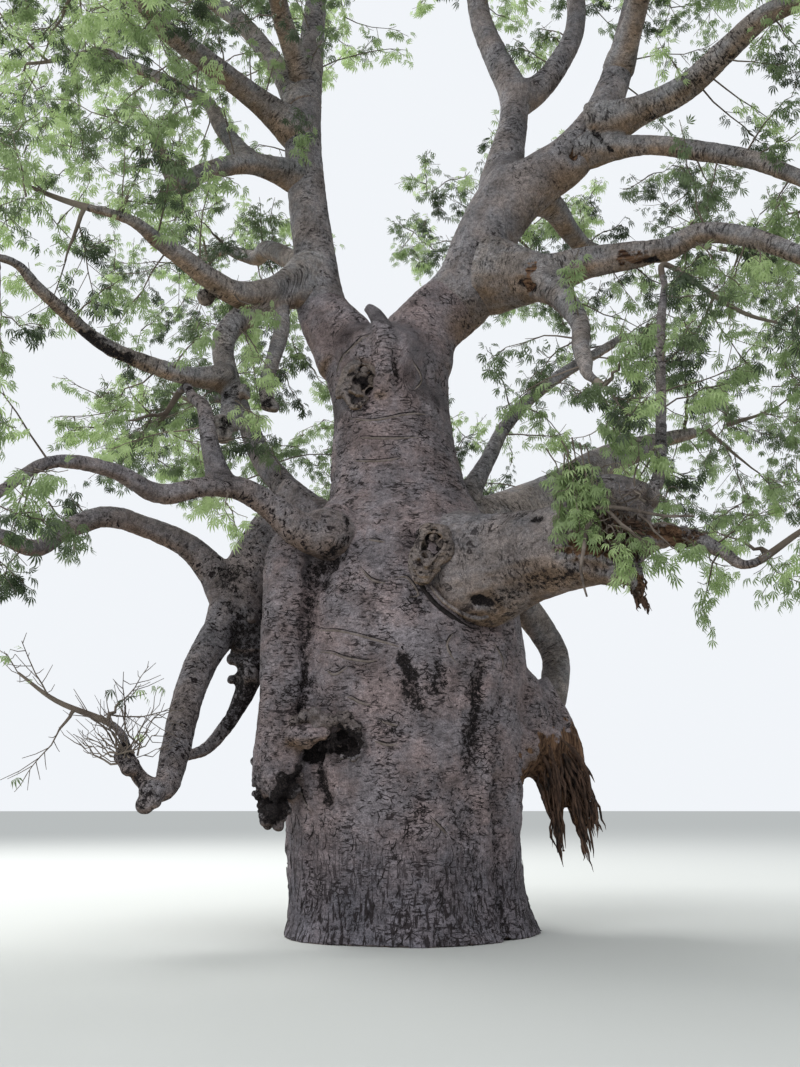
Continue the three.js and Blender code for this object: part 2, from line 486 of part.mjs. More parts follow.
/** A straight three-sided twig that runs out to a point. */
function straightTwig(root, end, girth) {
  const way = end.clone().sub(root);
  const length = way.length();
  const cone = new THREE.ConeGeometry(girth, length, 3, 1);
  cone.translate(0, length / 2, 0);
  const coneWay = new THREE.Vector3(0, 1, 0);
  cone.applyQuaternion(new THREE.Quaternion().setFromUnitVectors(coneWay, way.normalize()));
  cone.translate(root.x, root.y, root.z);
  return solid(cone);
}

/** A mass's stem: on from the limb's tip, through the middle of the mass and some way past it. */
function massStem({ limb, tip, middle, wide }) {
  const along = limb.curve.getTangent(1);
  const onward = middle.clone().sub(tip);
  const reach = onward.length();
  onward.normalize();
  const beyond = STEM_BEYOND * wide * (1 - STEM_FLATTENS * Math.abs(onward.z));
  const curve = smoothCurve([
    tip.clone().addScaledVector(along, CLEARANCE),
    tip.clone().addScaledVector(along, STEM_BEND * reach),
    middle,
    middle.clone().addScaledVector(onward, beyond),
  ]);
  return { curve, onward, girths: [limb.girths.at(-1), ...STEM_GIRTHS] };
}

/** One mass of foliage: its stem, side twigs round the stem, and sprays on each twig. */
function massSolid(mass) {
  const draw = dice(FIRST_SEED + mass.index);
  const tilt = (most) => most * (draw() - 0.5);
  const { curve, onward, girths } = massStem(mass);
  const parts = [solid(tube(curve, girths, STEM_SIDES, STEM_RINGS))];
  const fullSpray = SPRAY_LENGTH * METRE * clamp(mass.wide / (SPRAY_FULL_AT * METRE), SPRAY_LEAST, 1);
  const margin = SPACE_MARGIN * METRE;
  const blades = [];
  const fits = (one) => one.outline.every((spot) => inSpace(mass, spot, margin))
    && clearOfLimbs(one.inner, one.end, one.half)
    && blades.every((other) => distance(one.inner, one.end, other.inner, other.end) > SPRAY_APART * METRE);
  const addSpray = (root, way, roll) => {
    const length = fullSpray * (1 + SPRAY_VARIES * (2 * draw() - 1));
    const one = SPRAY_TRIES.map((share) => spray(root, way, share * length, roll)).find(fits);
    if (!one) return;
    blades.push(one);
    parts.push(solid(one.blade));
  };
  let azimuth = 360 * draw();
  for (let k = 0; k < mass.twigs; k += 1) {
    const share = k / (mass.twigs - 1);
    const fraction = lerp(TWIGS_FROM, TWIGS_TO, share);
    const root = curve.getPoint(fraction);
    const stemWay = curve.getTangent(fraction);
    const side = stemWay.clone().cross(UP).normalize().applyAxisAngle(stemWay, degToRad(azimuth));
    azimuth += GOLDEN_TURN;
    const lean = degToRad(lerp(TWIG_LEANS[0], TWIG_LEANS[1], share));
    const way = stemWay.clone().multiplyScalar(Math.cos(lean)).addScaledVector(side, Math.sin(lean));
    const length = room(mass, root, way) - TWIG_SHORT_OF_EDGE * fullSpray;
    const end = root.clone().addScaledVector(way, length);
    if (length < TWIG_SHORTEST * METRE || !clearOfLimbs(root, end, TWIG_GIRTH * METRE)) {
      addSpray(root, way, tilt(END_SPRAY_ROLL));
      continue;
    }
    parts.push(straightTwig(root, end, TWIG_GIRTH * METRE));
    addSpray(root.clone().lerp(end, TWIG_END_SPRAY), way, tilt(END_SPRAY_ROLL));
    for (let s = 0; s < mass.sprays; s += 1) {
      const swing = (s % 2 ? 1 : -1) * degToRad(lerp(SPRAY_SWING[0], SPRAY_SWING[1], draw()));
      const spread = way.clone().applyAxisAngle(UP, swing);
      spread.z -= Math.sin(degToRad(SPRAY_DROOP));
      const place = lerp(SPRAYS_FROM, SPRAYS_TO, s / mass.sprays);
      addSpray(root.clone().lerp(end, place), spread.normalize(), tilt(SPRAY_ROLL));
    }
  }
  addSpray(curve.getPoint(STEM_END_SPRAY), onward, tilt(END_SPRAY_ROLL));
  return largest(wasm.Manifold.union(parts));
}

const finish = (name, color, roughness) => (
  new THREE.MeshStandardMaterial({ name, color, roughness, metalness: 0 }));
const BARK = finish('bark', 0x8a7f7c, 0.9);
const YOUNG_BARK = finish('young_bark', 0x93877f, 0.85);
const LEAF = finish('leaf', 0x5e7a35, 0.65);

const tree = new THREE.Group();

function addNode(name, whole, material) {
  const { vertProperties, triVerts } = whole.getMesh();
  const geometry = new THREE.BufferGeometry();
  geometry.setAttribute('position', new THREE.BufferAttribute(Float32Array.from(vertProperties), 3));
  geometry.setIndex(new THREE.BufferAttribute(Uint32Array.from(triVerts), 1));
  geometry.computeVertexNormals();
  const mesh = new THREE.Mesh(geometry, material);
  mesh.name = name;
  tree.add(mesh);
}

addNode('trunk', trunkSolid(), BARK);

/** Limbs in order: each is cut clear of the trunk and of the limbs before it that it meets. */
const fullLimbs = [{ body: trunkSolid(CLEARANCE) }];
limbs.forEach((limb) => {
  let body = limbSolid(limb);
  fullLimbs.forEach((earlier) => {
    body = body.subtract(earlier.body);
  });
  addNode(limb.name, largest(body), limb.girth > STOUT_GIRTH ? BARK : YOUNG_BARK);
  fullLimbs.push({ body: limbSolid(limb, CLEARANCE) });
});

masses.forEach((mass) => {
  addNode(`${mass.limb.name}_foliage`, massSolid(mass), LEAF);
});

export default tree;
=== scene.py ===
# A baobab dressed in bark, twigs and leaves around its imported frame.
# Metres throughout: +Z is up, the front of the tree faces -Y and +X is to its right.
import json
import math

import bpy
import numpy as np
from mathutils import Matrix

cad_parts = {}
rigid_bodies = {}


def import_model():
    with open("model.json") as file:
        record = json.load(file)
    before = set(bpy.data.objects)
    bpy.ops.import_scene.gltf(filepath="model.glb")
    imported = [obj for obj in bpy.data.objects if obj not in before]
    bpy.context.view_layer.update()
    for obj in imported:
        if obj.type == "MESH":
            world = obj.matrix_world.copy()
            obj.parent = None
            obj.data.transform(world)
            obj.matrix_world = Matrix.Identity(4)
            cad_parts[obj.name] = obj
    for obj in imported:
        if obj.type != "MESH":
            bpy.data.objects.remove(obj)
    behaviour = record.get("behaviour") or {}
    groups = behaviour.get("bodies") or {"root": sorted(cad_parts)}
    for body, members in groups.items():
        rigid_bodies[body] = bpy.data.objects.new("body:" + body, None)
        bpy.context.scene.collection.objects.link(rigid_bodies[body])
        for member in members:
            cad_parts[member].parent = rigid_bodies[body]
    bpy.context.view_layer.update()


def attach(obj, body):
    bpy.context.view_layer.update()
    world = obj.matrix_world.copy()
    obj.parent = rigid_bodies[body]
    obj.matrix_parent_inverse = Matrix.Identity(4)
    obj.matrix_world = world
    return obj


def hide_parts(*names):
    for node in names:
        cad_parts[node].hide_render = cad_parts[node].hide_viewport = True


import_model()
scene = bpy.context.scene

# The view: a small camera held at head height in front of the tree and tilted up into the crown.
CAMERA_PLACE = (0.0, -15.1, 1.6)
CAMERA_TILT = 14.43  # degrees above level
CAMERA_LENS = 36.0  # millimetres, for a sensor whose long side is as long
FARTHEST_SEEN = 2000.0

lens = bpy.data.cameras.new("front_camera")
lens.sensor_width = CAMERA_LENS
lens.lens = CAMERA_LENS
lens.clip_end = FARTHEST_SEEN
camera = bpy.data.objects.new("front_camera", lens)
camera.location = CAMERA_PLACE
camera.rotation_euler = (math.radians(90 + CAMERA_TILT), 0, 0)
scene.collection.objects.link(camera)
scene.camera = camera


# The studio: a plain pale floor under an even pale sky, with one broad soft lamp high behind the
# crown on the left, which shines through the leaves, and a weak one for the front of the trunk.
FLOOR_RADIUS = 600.0
FLOOR_SIDES = 96
FLOOR_COLOUR = (0.55, 0.56, 0.54, 1)
SKY_COLOUR = (0.93, 0.96, 1.0, 1)
SKY_STRENGTH = 0.95
LAMPS = [
    {"name": "back_lamp", "place": (-16, 14, 34), "aim": (0, 0, 11), "size": 22, "watts": 16000},
    {"name": "front_lamp", "place": (-14, -24, 12), "aim": (0, 0, 6), "size": 16, "watts": 2600},
]


def adder(tree):
    """A short way to fill a node tree: capitalised names are sockets, the others are settings."""
    def add(kind, *values, **named):
        node = tree.nodes.new(kind)
        for name, value in named.items():
            if name[0].islower():
                setattr(node, name, value)
        sockets = [(node.inputs[i], value) for i, value in enumerate(values)]
        sockets += [(node.inputs[name.replace("_", " ")], value)
                    for name, value in named.items() if name[0].isupper()]
        for socket, value in sockets:
            if isinstance(value, bpy.types.NodeSocket):
                tree.links.new(value, socket)
            elif value is not None:
                socket.default_value = value
        return node
    return add


def blank_material(name):
    """A new material with an empty node tree, and the way to fill it."""
    material = bpy.data.materials.new(name)
    material.use_nodes = True
    material.node_tree.nodes.clear()
    return material, adder(material.node_tree)


def link(name, mesh):
    """An object at the origin for a mesh."""
    item = bpy.data.objects.new(name, mesh)
    scene.collection.objects.link(item)
    return item


floor_mesh = bpy.data.meshes.new("studio_floor")
floor_turns = np.arange(FLOOR_SIDES) * 2 * math.pi / FLOOR_SIDES
floor_mesh.from_pydata(
    [(FLOOR_RADIUS * math.cos(turn), FLOOR_RADIUS * math.sin(turn), 0) for turn in floor_turns],
    [], [list(range(FLOOR_SIDES))])
studio_floor = link("studio_floor", floor_mesh)
floor_finish, add = blank_material("studio_floor")
floor_shader = add("ShaderNodeBsdfDiffuse", Color=FLOOR_COLOUR)
add("ShaderNodeOutputMaterial", Surface=floor_shader.outputs[0])
floor_mesh.materials.append(floor_finish)

scene.view_settings.view_transform = "Standard"
scene.world = bpy.data.worlds.new("studio_sky")
scene.world.use_nodes = True
scene.world.node_tree.nodes.clear()
add = adder(scene.world.node_tree)
sky_shader = add("ShaderNodeBackground", Color=SKY_COLOUR, Strength=SKY_STRENGTH)
add("ShaderNodeOutputWorld", Surface=sky_shader.outputs[0])

for row in LAMPS:
    light = bpy.data.lights.new(row["name"], "AREA")
    light.shape = "DISK"
    light.size = row["size"]
    light.energy = row["watts"]
    lamp = bpy.data.objects.new(row["name"], light)
    lamp.location = row["place"]
    gaze = np.array(row["aim"], float) - np.array(row["place"], float)
    level = math.hypot(gaze[0], gaze[1])
    lamp.rotation_euler = (math.atan2(level, -gaze[2]), 0, math.atan2(-gaze[0], gaze[1]))
    scene.collection.objects.link(lamp)


# The trunk: living baobab wood under one folded grey skin, from the root flare to the fork and the
# stubs of its leaders. Closed shells are fused into one skin, softened where they meet, creased,
# hollowed and torn where the real bark is, and then given its relief.
TRUNK_STATIONS = [  # height, half width and sideways shift of the middle, from the ground up
    (0, 1.66, 0.1), (0.18, 1.6, 0.09), (0.6, 1.57, 0.05), (1.2, 1.58, 0.03), (1.9, 1.64, 0.04),
    (2.7, 1.7, 0.06), (3.5, 1.73, 0.04), (4.2, 1.7, 0), (4.8, 1.64, 0), (5.25, 1.5, 0), (5.6, 1.26, 0.02),
    (5.95, 1.04, 0.03), (6.4, 0.96, -0.05), (6.95, 0.89, -0.08), (7.4, 0.87, -0.12), (7.85, 0.92, -0.18),
    (8.25, 0.93, -0.2), (8.5, 0.72, -0.2), (8.66, 0.36, -0.2),
]
TRUNK_SIDES = 72
TRUNK_RINGS = 110
TOE_COUNT = 5
TOE_SWELL = 0.05
TOE_HEIGHT = 0.35
FLUTE_COUNT = 3
FLUTE_SWELL = 0.018
FLUTE_TWIST = 0.4
TRUNK_STRIPS = [  # points and girths of what is fused to the trunk
    ([[-1.2, -0.9, 5.35], [-1.46, -1.04, 4.9], [-1.5, -1.05, 4.0], [-1.48, -1.05, 3.1],
      [-1.5, -1.05, 2.5], [-1.57, -1.02, 2.0], [-1.55, -1.02, 1.72]],
     [0.24, 0.35, 0.36, 0.36, 0.38, 0.34, 0.22]),
    ([[1.75, 0.05, 3.2], [2.0, 0.1, 2.45], [2.12, 0.1, 1.7], [2.25, 0.1, 0.98]],
     [0.36, 0.33, 0.19, 0.03]),
    ([[1.85, 0.3, 3.3], [2.3, 0.3, 2.5], [2.46, 0.28, 1.7], [2.58, 0.28, 0.92]],
     [0.3, 0.27, 0.18, 0.03]),
    ([[-0.24, -0.84, 7.3], [-0.2, -0.9, 7.7], [-0.22, -0.92, 8.1], [-0.28, -0.9, 8.4], [-0.42, -0.86, 8.62],
      [-0.5, -0.85, 8.68]], [0.1, 0.17, 0.19, 0.14, 0.095, 0.075]),
]
TRUNK_LUMPS = [  # middle and half sizes
    ((1.55, 0.05, 2.75), (0.56, 0.75, 0.85)),
    ((-1.1, -1.36, 2.5), (0.4, 0.34, 0.2)),
    ((-1.62, -0.9, 1.85), (0.26, 0.24, 0.26)),
    ((0.4, -1.52, 4.86), (0.24, 0.24, 0.3)),
    ((-0.86, -1.16, 5.2), (0.34, 0.36, 0.4)),
]
LUMP_SIDES = 20
# A limb's row: name, start (a place, or another limb and a share of its length), girth at the start,
# reaches (length, heading, rise, girth at the end), and its leafy side shoots (where they start along
# it, how many on a metre). A limb with a mass of leaves has one more entry: the distance, heading and
# rise of the mass's middle from the limb's tip, its half width and half height, its side twigs, the
# sprays on each, and how thickly it is filled.
LEADERS = [
    ("west_leader", (-0.5, -0.1, 7.7), 0.65,
     [(0.8, 280, 65, 0.53), (0.75, 275, 60, 0.4), (0.95, 305, 80, 0.33), (1.25, 310, 80, 0.31),
      (1.2, 305, 85, 0.3), (1.8, 5, 75, 0.23), (1.85, 5, 75, 0.18)], (0.5, 1.6),
      (1.3, 330, 60, 2.9, 2.2, 6, 3, 1)),
    ("east_leader", (0.05, -0.1, 7.7), 0.75,
     [(0.6, 95, 75, 0.64), (0.5, 100, 60, 0.52), (0.8, 95, 45, 0.52), (0.95, 90, 70, 0.48),
      (0.7, 90, 60, 0.5), (0.65, 100, 35, 0.41), (0.55, 110, 30, 0.37), (0.85, 95, 55, 0.28),
      (1.45, 50, 65, 0.23), (1.65, 50, 70, 0.21), (1.55, 40, 65, 0.16)], (0.72, 1.6),
      (1.3, 70, 50, 3, 2.2, 6, 3, 1)),
    ("middle_leader", ("east_leader", 0.45), 0.34,
     [(0.8, 5, 80, 0.27), (0.95, 45, 75, 0.23), (0.65, 10, 80, 0.25), (0.85, 305, 70, 0.22),
      (1.2, 325, 70, 0.19), (2, 350, 75, 0.17)], (0.55, 1.5), (1.2, 60, 60, 3, 2.1, 6, 3, 1)),
    ("middle_east_fork", ("middle_leader", 0.45), 0.21,
     [(0.5, 80, 35, 0.2), (0.65, 75, 55, 0.19), (0.9, 65, 65, 0.17), (1, 25, 80, 0.16), (1, 335, 75, 0.14)],
      (0.35, 2.0)),
]
COLLAR_SWELL = 0.4  # a limb is this much stouter where it leaves its parent
COLLAR_FADE, LEAST_FADE = 1.1, 0.05  # a collar fades over this share of the girth, and some metres
COLLAR_START = 0.9  # share of the way out of the parent from which a collar fades
WITHOUT_COLLAR = ("west_leader", "east_leader", "west_bough")
ROOT_DEPTH, ROOT_DEPTH_SHARE = 0.25, 0.6  # how deep a shell starts under its parent's skin
STUB_END, SLIM_START = 0.8, 0.9  # a stub ends, and a slim shell starts, this much thinner
LIMB_SIDES = 18
RING_SPACING = 0.09
STEM_SHARE = 0.55  # how much of a mass's stem is stout enough to share the limb's bark
LEAST_STEM = 0.045
STEM_RINGS = 14
CURVE_STEP = 1e-4
TRUNK_VOXEL = 0.038
LEADER_VOXEL = 0.036

limbs = {}


def bearing(heading, rise):
    """The way along a compass heading and a rise, both in degrees."""
    turn, lift = math.radians(heading), math.radians(rise)
    return np.array([math.cos(lift) * math.sin(turn), math.cos(lift) * math.cos(turn), math.sin(lift)])


def curve_at(points, fractions):
    """Places on the smooth curve through points, at fractions of it."""
    points = np.asarray(points, float)
    ends = np.vstack([2 * points[0] - points[1], points, 2 * points[-1] - points[-2]])
    place = np.clip(np.atleast_1d(fractions), 0, 1) * (len(points) - 1)
    step = np.minimum(place.astype(int), len(points) - 2)
    t = (place - step)[:, None]
    a, b, c, d = (ends[step + i] for i in range(4))
    return 0.5 * (2 * b + (c - a) * t + (2 * a - 5 * b + 4 * c - d) * t**2 + (3 * b - a - 3 * c + d) * t**3)


def unit(vectors):
    """Vectors, or one vector, of length 1."""
    return vectors / np.maximum(np.linalg.norm(vectors, axis=-1, keepdims=True), 1e-9)


def way_at(points, fraction):
    """The curve's way at a fraction of it."""
    ends = [max(0, fraction - CURVE_STEP), min(1, fraction + CURVE_STEP)]
    near, far = curve_at(points, ends)
    return unit(far - near)


def strides(points):
    """The lengths of a path's steps."""
    return np.linalg.norm(np.diff(points, axis=0), axis=1)


def girth_at(girths, fractions):
    return np.interp(np.atleast_1d(fractions) * (len(girths) - 1), np.arange(len(girths)), girths)


def trunk_half(heights):
    """The trunk's half width and the shift of its middle at some heights."""
    z, half, shift = np.array(TRUNK_STATIONS).T
    return np.interp(heights, z, half), np.interp(heights, z, shift)


def carried_frames(places):
    """Two directions across a path at each of its places, carried along it without twist."""
    ways = unit(np.gradient(places, axis=0))
    across = np.array([0.31, 0.95, 0.05])
    sides = []
    for way in ways:
        across = unit(across - way * across.dot(way))
        sides.append(across)
    sides = np.array(sides)
    return sides, np.cross(sides, ways)


def tube_faces(rings, count):
    """The faces of a closed tube: quads between its rings of corners, and a cap at each end."""
    faces = []
    for i in range(rings - 1):
        for j in range(count):
            a, b = i * count + j, i * count + (j + 1) % count
            faces.append([a, b, b + count, a + count])
    last = (rings - 1) * count
    return faces + [list(range(last, last + count)), list(range(count))[::-1]]


def tube_shell(places, girths, count=LIMB_SIDES):
    """A closed round tube along places: its corners and faces."""
    across, third = carried_frames(places)
    turns = np.arange(count) * 2 * math.pi / count
    ring = np.cos(turns)[None, :, None] * across[:, None] + np.sin(turns)[None, :, None] * third[:, None]
    corners = places[:, None] + ring * np.asarray(girths)[:, None, None]
    return corners.reshape(-1, 3), tube_faces(len(places), count)


def grow(rows):
    """Adds limbs to the tree. Each starts in the trunk or on a limb that was grown before."""
    for name, start, girth, reaches, shoots, *mass in rows:
        parent, share = start if len(start) == 2 else (None, None)
        points = [curve_at(limbs[parent]["points"], share)[0] if parent else np.array(start)]
        for length, heading, rise, _ in reaches:
            points.append(points[-1] + bearing(heading, rise) * length)
        limbs[name] = {"name": name, "parent": parent, "at": share, "girth": girth, "shoots": shoots,
                       "points": np.array(points), "girths": [girth] + [reach[3] for reach in reaches]}
        if mass:
            distance, heading, rise, wide, tall, twigs, sprays, fullness = mass[0]
            middle = points[-1] + bearing(heading, rise) * distance
            limbs[name].update(tip=points[-1], middle=middle, wide=wide, tall=tall, twigs=twigs,
                               sprays=sprays, fullness=fullness)


STEM_BEND = 0.35
STEM_BEYOND = 0.45
STEM_FLATTENS = 0.4
STEM_TAPER = [(0.68, 0.04), (0.36, 0.032), (0, 0.016)]  # shares of the limb's girth, least girths


def stem_points(limb):
    """A mass's stem: on from the limb's tip, through the middle of the mass and some way past it."""
    onward = limb["middle"] - limb["tip"]
    reach = np.linalg.norm(onward)
    onward = onward / reach
    along = way_at(limb["points"], 1)
    beyond = STEM_BEYOND * limb["wide"] * (1 - STEM_FLATTENS * abs(onward[2]))
    return np.array([limb["tip"], limb["tip"] + along * STEM_BEND * reach, limb["middle"],
                     limb["middle"] + onward * beyond])


def stem_girths(limb):
    """The stem's girths: it tapers on from the limb's own."""
    tip = limb["girths"][-1]
    return [tip] + [max(share * tip, least) for share, least in STEM_TAPER]


def limb_path(limb):
    """Places and girths from a limb's root to where its mass's stem has grown thin."""
    fractions = np.linspace(0, 1, int(strides(limb["points"]).sum() / RING_SPACING) + 2)
    places = curve_at(limb["points"], fractions)
    girths = girth_at(limb["girths"], fractions)
    if "middle" in limb:
        fractions = np.linspace(0.02, STEM_SHARE, STEM_RINGS)
        thickness = girth_at(stem_girths(limb), fractions)
        keep = thickness > LEAST_STEM
        places = np.vstack([places, curve_at(stem_points(limb), fractions)[keep]])
        girths = np.append(girths, thickness[keep])
    return places, girths


def limb_shell(limb, stub=0.0, slim=0.0):
    """A limb's closed shell, stouter at its collar. A stub is only the part that the parent's skin
    takes in, and a slim one starts a little thinner, inside that stub."""
    places, girths = limb_path(limb)
    travelled = np.append(0, np.cumsum(strides(places)))
    if limb["parent"]:
        buried = girth_at(limbs[limb["parent"]]["girths"], limb["at"])[0]
    else:
        half, shift = trunk_half(places[:, 2])
        outside = np.hypot(places[:, 0] - shift, places[:, 1]) > half
        buried = travelled[outside.argmax()] if outside.any() else 0
    clear = np.maximum(0, travelled - COLLAR_START * buried)
    swell = 0 if limb["name"] in WITHOUT_COLLAR else COLLAR_SWELL
    girths = girths * (1 + swell * np.exp(-clear / (COLLAR_FADE * limb["girth"] + LEAST_FADE)))
    depth = max(ROOT_DEPTH, ROOT_DEPTH_SHARE * limb["girth"])
    begin = max(0, np.searchsorted(travelled, buried - depth) - 1)
    end = len(places)
    if stub:
        end = np.searchsorted(travelled, buried + stub) + 1
        girths = girths * np.interp((travelled - buried) / stub, [0.5, 1], [1, STUB_END])
    if slim:
        girths = girths * np.interp((travelled - buried) / slim, [0, 1], [SLIM_START, 1])
    return tube_shell(places[begin:end], girths[begin:end])


def strip_shell(points, girths):
    fractions = np.linspace(0, 1, 5 * len(points))
    return tube_shell(curve_at(points, fractions), girth_at(girths, fractions))


def lump_shell(middle, half):
    """A closed egg."""
    turns = np.linspace(0, math.pi, LUMP_SIDES)[1:-1]
    places = np.array([[0, 0, math.cos(turn)] for turn in turns])
    corners, faces = tube_shell(places, np.sin(turns), LUMP_SIDES)
    return corners * np.array(half) + np.array(middle), faces


def trunk_shell():
    """The trunk's barrel with its flutes and root toes."""
    heights = np.linspace(0, TRUNK_STATIONS[-1][0], TRUNK_RINGS)
    half, shift = trunk_half(heights)
    turns = np.arange(TRUNK_SIDES) * 2 * math.pi / TRUNK_SIDES
    z, turn = np.meshgrid(heights, turns, indexing="ij")
    toes = TOE_SWELL * np.exp(-z / TOE_HEIGHT) * (1 + np.cos(TOE_COUNT * turn))
    reach = half[:, None] * (1 + FLUTE_SWELL * np.cos(FLUTE_COUNT * turn + FLUTE_TWIST * z)) + toes
    corners = np.stack([shift[:, None] + reach * np.cos(turn), reach * np.sin(turn), z], -1)
    return corners.reshape(-1, 3), tube_faces(TRUNK_RINGS, TRUNK_SIDES)


def plain_mesh(item):
    """The object's evaluated shape as its own plain mesh, with its modifiers gone."""
    evaluated = item.evaluated_get(bpy.context.evaluated_depsgraph_get())
    mesh = bpy.data.meshes.new_from_object(evaluated)
    item.modifiers.clear()
    item.data = mesh
    return mesh


def fuse(name, shells, voxel):
    """Closed shells fused into one skin of even quads."""
    corners, faces, start = [], [], 0
    for shell_corners, shell_faces in shells:
        corners.append(shell_corners)
        faces += [[start + corner for corner in face] for face in shell_faces]
        start += len(shell_corners)
    mesh = bpy.data.meshes.new(name)
    mesh.from_pydata(np.vstack(corners), [], faces)
    item = link(name, mesh)
    remesh = item.modifiers.new("fuse", "REMESH")
    remesh.mode = "VOXEL"
    remesh.voxel_size = voxel
    remesh.use_smooth_shade = True
    plain_mesh(item)
    item.data.name = name
    return item


def read(mesh):
    """A mesh's corners and edges as arrays."""
    corners = np.empty(3 * len(mesh.vertices), np.float32)
    mesh.vertices.foreach_get("co", corners)
    edges = np.empty(2 * len(mesh.edges), np.int32)
    mesh.edges.foreach_get("vertices", edges)
    return corners.reshape(-1, 3).astype(float), edges.reshape(-1, 2)


def write(mesh, corners):
    mesh.vertices.foreach_set("co", corners.astype(np.float32).ravel())
    mesh.update()


def normals_of(mesh):
    ways = np.empty(3 * len(mesh.vertices), np.float32)
    mesh.vertex_normals.foreach_get("vector", ways)
    return ways.reshape(-1, 3).astype(float)


def neighbour_mean(values, edges):
    """The mean of each corner's neighbours, for one or more columns of values."""
    a, b = edges.T
    count = np.bincount(a, minlength=len(values)) + np.bincount(b, minlength=len(values))
    columns = []
    for column in values.T:
        total = np.bincount(a, column[b], len(values)) + np.bincount(b, column[a], len(values))
        columns.append(total / np.maximum(count, 1))
    return np.stack(columns, 1)


def soften(corners, edges, weight, rounds):
    """Relaxes a skin towards its neighbours, as far as each corner's weight lets it."""
    for _ in range(rounds):
        corners = corners + weight[:, None] * (neighbour_mean(corners, edges) - corners)
    return corners


def distance_to_path(corners, path):
    """Each corner's distance to the nearest of a path's straight stretches."""
    path = np.asarray(path, float)
    if len(path) == 1:
        return np.linalg.norm(corners - path[0], axis=1)
    best = np.full(len(corners), np.inf)
    for a, b in zip(path[:-1], path[1:]):
        run = b - a
        t = np.clip((corners - a) @ run / run.dot(run), 0, 1)
        best = np.minimum(best, np.linalg.norm(corners - a - t[:, None] * run, axis=1))
    return best


def store(mesh, name, values, kind="FLOAT"):
    """Keeps a value for each corner on the mesh."""
    key = "value" if kind == "FLOAT" else "vector"
    mesh.attributes.new(name, kind, "POINT").data.foreach_set(key, np.asarray(values, np.float32).ravel())


LIMB_NEAR = 1.2  # no corner farther than this from a limb's path is its own
FORK_HEIGHT = 8.5  # above this the trunk gives way to its leaders
FORK_SLOPE = 2


def settle_on_limbs(corners, own, with_trunk):
    """For each corner: its place round and along the nearest limb, and how plainly that limb is its own."""
    best = np.full(len(corners), np.inf)
    second = np.full(len(corners), np.inf)
    owner = np.full(len(corners), -1)
    place = np.zeros((len(corners), 3))
    girth = np.ones(len(corners))
    for number, limb in enumerate(own):
        places, girths = limb_path(limb)
        across, third = carried_frames(places)
        travelled = np.append(0, np.cumsum(strides(places)))
        low, high = places.min(0) - LIMB_NEAR, places.max(0) + LIMB_NEAR
        near = np.flatnonzero(((corners > low) & (corners < high)).all(1))
        spots = corners[near]
        step = 2
        for i in range(0, len(places) - step, step):
            a, run = places[i], places[i + step] - places[i]
            t = np.clip((spots - a) @ run / run.dot(run), 0, 1)
            offset = spots - a - t[:, None] * run
            gap = np.linalg.norm(offset, axis=1) - girths[i]
            old = best[near]
            other = owner[near] != number
            second[near] = np.where(gap < old, np.where(other, old, second[near]),
                                    np.where(other, np.minimum(second[near], gap), second[near]))
            win = gap < old
            chosen = near[win]
            best[chosen] = gap[win]
            owner[chosen] = number
            girth[chosen] = girths[i]
            place[chosen, 0] = offset[win] @ across[i]
            place[chosen, 1] = offset[win] @ third[i]
            place[chosen, 2] = travelled[i] + t[win] * np.linalg.norm(run)
    if with_trunk:
        half, shift = trunk_half(corners[:, 2])
        gap = np.hypot(corners[:, 0] - shift, corners[:, 1]) - half
        gap = gap + FORK_SLOPE * np.maximum(0, corners[:, 2] - FORK_HEIGHT)
        win = gap < best
        second = np.where(win, best, np.minimum(second, gap))
        best = np.minimum(best, gap)
        place[win] = corners[win]
        girth[win] = 1.0
    return place, girth, np.clip((second - best) / (0.5 * girth + 0.05), 0, 1)


RELIEF_INPUTS = {  # sizes in features a metre, heights in metres
    "swell_scale": 1.1, "swell_height": 0.03, "lump_scale": 4.5, "lump_height": 0.016,
    "wrinkle_scale": 8.5, "wrinkle_height": 0.02, "pit_scale": 6.0, "pit_depth": 0.016,
    "fibre_scale": 16.0, "fibre_height": 0.07,
}


def node_group(name, inputs):
    """A geometry node tree with named inputs: the tree, what fills it, its attributes and its inputs."""
    tree = bpy.data.node_groups.new(name, "GeometryNodeTree")
    for socket, kind in {"Geometry": "Geometry", **inputs}.items():
        tree.interface.new_socket(socket, in_out="INPUT", socket_type="NodeSocket" + kind)
    tree.interface.new_socket("Geometry", in_out="OUTPUT", socket_type="NodeSocketGeometry")
    add = adder(tree)

    def stored(attribute, kind="FLOAT"):
        return add("GeometryNodeInputNamedAttribute", Name=attribute, data_type=kind).outputs[0]
    return tree, add, stored, add("NodeGroupInput").outputs


def finish_group(add, shape, finish):
    """The end of a node tree: its shape made real, with its material."""
    real = add("GeometryNodeRealizeInstances", shape).outputs[0]
    done = add("GeometryNodeSetMaterial", Geometry=real, Material=finish).outputs[0]
    add("NodeGroupOutput", done)


